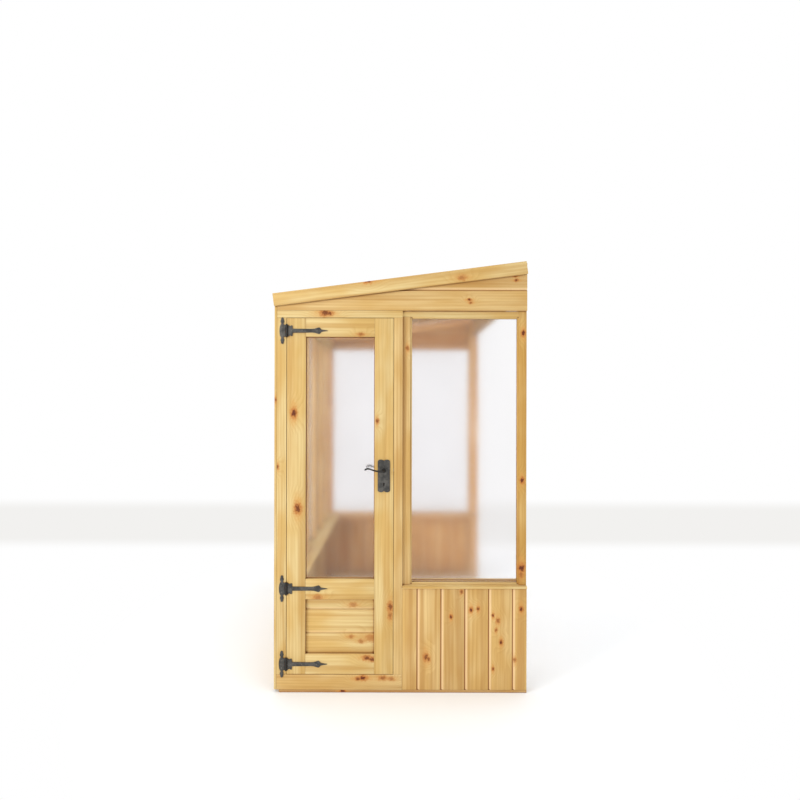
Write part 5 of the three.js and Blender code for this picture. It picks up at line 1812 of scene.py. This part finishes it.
@dataclass
class LeverLock(SubAssembly):
    """Lever handles, their plates and the lock in the leaf's edge.

    Attributes:
        body: Body of the frame that the pieces move with.
        spindle: Place of the spindle across the gable and its height.
        collar: Radius of the collar under each lever.
        collar_rise: Thickness of the collar, half of which is let into the plate.
        disc_sides: Number of sides of the collars and of the curtain.
        disc_bevel: Width of their bevel, as a share of their radius.
        disc_crown: Rise of their bevel, as a share of their thickness.
        curtain_drop: How far the middle of the curtain behind the keyhole lies under the spindle.
        curtain: Radius of the curtain.
        curtain_stretch: Height of the curtain, as a share of its width.
        curtain_thickness: Thickness of the curtain.
        strike_thickness: How far the strike is let into the post.
        strike_proud: How far the strike stands proud of the post.
        strike_half_width: Half the strike's width.
        strike_margins: How far the strike ends inside the lock case's foot and head.
        bolt_room: Room round the bolts in the strike's openings.
        overrun: How far a cutter reaches past what it cuts.
    """

    body: str = "door"
    spindle: tuple[float, float] = (-0.0765, 1.066)
    collar: float = 14 * MM
    collar_rise: float = 1.6 * MM
    disc_sides: int = 36
    disc_bevel: float = 0.1
    disc_crown: float = 0.25
    curtain_drop: float = 69 * MM
    curtain: float = 7.5 * MM
    curtain_stretch: float = 1.7
    curtain_thickness: float = 6 * MM
    strike_thickness: float = 1.2 * MM
    strike_proud: float = 0.12 * MM
    strike_half_width: float = 9 * MM
    strike_margins: tuple[float, float] = (6 * MM, 4 * MM)
    bolt_room: float = 1.5 * MM
    overrun: float = 5 * MM

    def build(self) -> None:
        """Dresses the lock, its bolts, the plates and the levers, and adds collars, curtain and strike."""
        iron = self.shop.forged()
        for node in ("lock_case", "latch_bolt", "dead_bolt"):
            repaint(node, self.shop.plated())
        for side, outer in (("outer", True), ("inner", False)):
            node = f"handle_plate_{side}"
            plate = eased(merged_copy(node, f"{node}_forged"), self.metal_ease)
            dress(plate, iron, self.body, "black_iron", node)
            low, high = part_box(node)
            ring = self.turned_disc(f"lever_collar_{side}", self.collar, self.collar_rise)
            ring.location = (self.spindle[0], low.y if outer else high.y, self.spindle[1])
            dress(place_applied(ring), iron, self.body, "black_iron")
        lever = shaded_smooth(merged_copy("door_lever", "door_lever_pair"), CREASE_OF_LEVER)
        dress(lever, self.shop.handled_iron(), "lever", "black_iron", "door_lever")
        self.hang_curtain()
        self.let_in_strike()

    def turned_disc(self, name: str, radius: float, depth: float) -> Piece:
        """Disc with bevelled edges round the origin, on a pin along Y.

        Args:
            name: The disc's name.
            radius: Its radius.
            depth: Its thickness.

        Returns:
            The disc.
        """
        clear_selection()
        bpy.ops.mesh.primitive_cylinder_add(
            vertices=self.disc_sides, radius=radius, depth=depth, rotation=PIN_ALONG_Y
        )
        disc = bpy.context.object
        disc.name = name
        place_applied(disc)
        for way in (-1.0, 1.0):
            pick(disc, "FACE", lambda face: face.normal.y * way > FACING)
            crown(radius * self.disc_bevel, way * depth * self.disc_crown)
            bpy.ops.object.mode_set(mode="OBJECT")
        return shaded_smooth(disc, CREASE_OF_DISC)

    def hang_curtain(self) -> None:
        """Curtain inside the lock that closes the view through the keyhole."""
        curtain = self.turned_disc("lock_curtain", self.curtain, self.curtain_thickness)
        height = self.spindle[1] - self.curtain_drop
        curtain.location = (self.spindle[0], middle_of("lock_case").y, height)
        curtain.scale = (1.0, 1.0, self.curtain_stretch)
        dress(place_applied(curtain), self.shop.forged(), self.body, "black_iron")

    def let_in_strike(self) -> None:
        """Steel strike let into the post, almost flush, with openings for both bolts."""
        case_low, case_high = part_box("lock_case")
        depth = middle_of("latch_bolt").y
        foot, head = case_low.z + self.strike_margins[0], case_high.z - self.strike_margins[1]
        over_latch = (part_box("latch_bolt")[1].z + head) / 2
        face, _ = surface_of("near_mid_post", (case_high.x, depth, over_latch), (1.0, 0.0, 0.0))
        low = Vector((face.x - self.strike_proud, depth - self.strike_half_width, foot))
        high = Vector((face.x + self.strike_thickness, depth + self.strike_half_width, head))
        strike = block("lock_strike", low, high)
        for bolt in ("latch_bolt", "dead_bolt"):
            bolt_low, bolt_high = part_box(bolt)
            room, past = self.bolt_room, self.overrun
            cut_low = Vector((low.x - past, bolt_low.y - room, bolt_low.z - room))
            cut_high = Vector((high.x + past, bolt_high.y + room, bolt_high.z + room))
            cut_away(strike, block("opening", cut_low, cut_high))
        dress(strike, self.shop.plated(), "root", "steel")


@dataclass(frozen=True)
class Lamp:
    """Soft square lamp.

    Attributes:
        name: The lamp's name.
        place: Where it hangs.
        target: What it points at.
        size: Side of its face.
        power: Its power in watts.
    """

    name: str
    place: Point
    target: Point
    size: float
    power: float


@dataclass
class Studio:
    """Pale floor, white surroundings, soft lamps and the camera.

    Attributes:
        eye: Place of the camera, which looks level along Y.
        roll: Turn of the camera about its line of sight.
        lens: Focal length in millimetres.
        sensor: Width of the sensor in millimetres.
        sight: Distance up to which the camera sees.
        floor_size: Side of the floor.
        floor_tints: Colours between which the floor varies.
        white_and_horizon_shade: White into which the floor fades, and the grey of the band of painted shade
            on it.
        lamps: The lamps.
        ambient: Strength of the surroundings' light.
        white_from: Distance from the object at which the floor starts to fade into white.
        white_at: Distance at which it is white.
        shade_band_starts: Where the band of painted shade on the floor behind the object fades in.
        shade_band_ends: Where it fades out.
    """

    eye: Point = (-0.0002, -3.628, 1.403)
    roll: float = math.radians(-0.13)
    lens: float = 25.76
    sensor: float = 36.0
    sight: float = 200.0
    floor_size: float = 60.0
    floor_tints: tuple[Colour, Colour] = (srgb(249, 251, 254), srgb(251, 254, 255))
    white_and_horizon_shade: tuple[Colour, Colour] = (srgb(255, 255, 255), srgb(242, 241, 239))
    lamps: tuple[Lamp, ...] = (
        Lamp("key", (-5.2, -5.0, 2.4), (0.0, -0.6, 1.0), 1.8, 185.0),
        Lamp("fill", (3.4, -5.6, 2.2), (0.0, -0.6, 1.0), 3.0, 30.0),
        Lamp("top", (0.0, -0.5, 6.5), (0.0, 0.0, 0.0), 5.0, 138.0),
    )
    ambient: float = 0.78
    white_from: float = 1.15
    white_at: float = 1.75
    shade_band_starts: tuple[float, float] = (1.7, 2.2)
    shade_band_ends: tuple[float, float] = (3.6, 4.6)

    def build(self) -> None:
        """Sets up the floor, the light and the camera."""
        self.lay_floor()
        self.light_world()
        for lamp in self.lamps:
            self.hang(lamp)
        self.set_camera()

    def lay_floor(self) -> None:
        """Lays a pale floor that keeps the object's shadow and fades into white further out, with a band of
        painted shade behind the object.
        """
        clear_selection()
        bpy.ops.mesh.primitive_plane_add(size=self.floor_size, location=(0.0, 0.0, 0.0))
        floor = bpy.context.object
        floor.name = "floor"
        material, graph, surface = new_material("floor")
        place = graph.place()
        cloud = graph.noise(place, 0.8, 2.0)
        graph.feed(surface.inputs["Base Color"], graph.blend(cloud, *self.floor_tints))
        surface.inputs["Roughness"].default_value = 0.9
        surface.inputs["Specular IOR Level"].default_value = 0.1
        # Painted shade: a grey band across the floor behind the object, where a backdrop would curve up
        back = graph.node("ShaderNodeSeparateXYZ", {0: place}).outputs["Y"]
        near_edge = graph.ramp(back, *self.shade_band_starts)
        far_edge = graph.ramp(back, *self.shade_band_ends, 1.0, 0.0)
        band = graph.calc("MULTIPLY", near_edge, far_edge)
        horizon = graph.blend(band, *self.white_and_horizon_shade)
        plain = graph.node("ShaderNodeEmission", {"Color": horizon})
        sight = graph.node("ShaderNodeLightPath")
        seen_by = sight.outputs["Is Camera Ray"], sight.outputs["Is Transmission Ray"]
        straight = graph.calc("MAXIMUM", *seen_by)
        oval = graph.vector("MULTIPLY", place, (1.0, 0.8, 1.0))
        outer = graph.ramp(graph.length(oval), self.white_from, self.white_at)
        graph.show_instead(graph.calc("MULTIPLY", outer, straight), surface, plain)
        floor.data.materials.append(material)

    def light_world(self) -> None:
        """Makes the surroundings white to the eye and in reflections, and softer on what is lit."""
        world = bpy.data.worlds.new("studio")
        bpy.context.scene.world = world
        world.use_nodes = True
        graph = Graph(world.node_tree)
        background = world.node_tree.nodes["Background"]
        sight = graph.node("ShaderNodeLightPath")
        seen = graph.calc("MAXIMUM", sight.outputs["Is Camera Ray"], sight.outputs["Is Glossy Ray"])
        seen = graph.calc("MAXIMUM", seen, sight.outputs["Is Transmission Ray"])
        background.inputs["Color"].default_value = (1.0, 1.0, 1.0, 1.0)
        graph.feed(background.inputs["Strength"], graph.ramp(seen, 0.0, 1.0, self.ambient, 1.0))

    def hang(self, lamp: Lamp) -> None:
        """Hangs a lamp.

        Args:
            lamp: The lamp.
        """
        clear_selection()
        bpy.ops.object.light_add(type="AREA", location=lamp.place)
        hung = bpy.context.object
        hung.name = lamp.name
        hung.data.shape = "SQUARE"
        hung.data.size = lamp.size
        hung.data.energy = lamp.power
        line = Vector(lamp.target) - Vector(lamp.place)
        hung.rotation_euler = line.to_track_quat("-Z", "Y").to_euler()

    def set_camera(self) -> None:
        """Sets the camera where the photograph was taken from."""
        clear_selection()
        bpy.ops.object.camera_add(location=self.eye, rotation=(math.pi / 2, self.roll, 0.0))
        camera = bpy.context.object
        camera.data.lens = self.lens
        camera.data.sensor_width = self.sensor
        camera.data.clip_end = self.sight
        scene = bpy.context.scene
        scene.camera = camera
        scene.view_settings.view_transform = "Standard"


def main() -> None:
    """Dresses the greenhouse, one sub-assembly after another, and sets up the studio."""
    logging.basicConfig(level=logging.INFO, format="%(name)s: %(message)s")
    shop = MaterialShop()
    assemblies: Iterable[SubAssembly] = (
        BaseFrame(shop),
        NearGable(shop),
        FarGable(shop),
        LowWall(shop),
        Roof(shop),
        RoofVent(shop),
        DoorLeaf(shop),
        StrapHinges(shop),
        LeverLock(shop),
        Fixings(shop),
    )
    for assembly in assemblies:
        assembly.build()
    Studio().build()


if __name__ == "__main__":
    main()
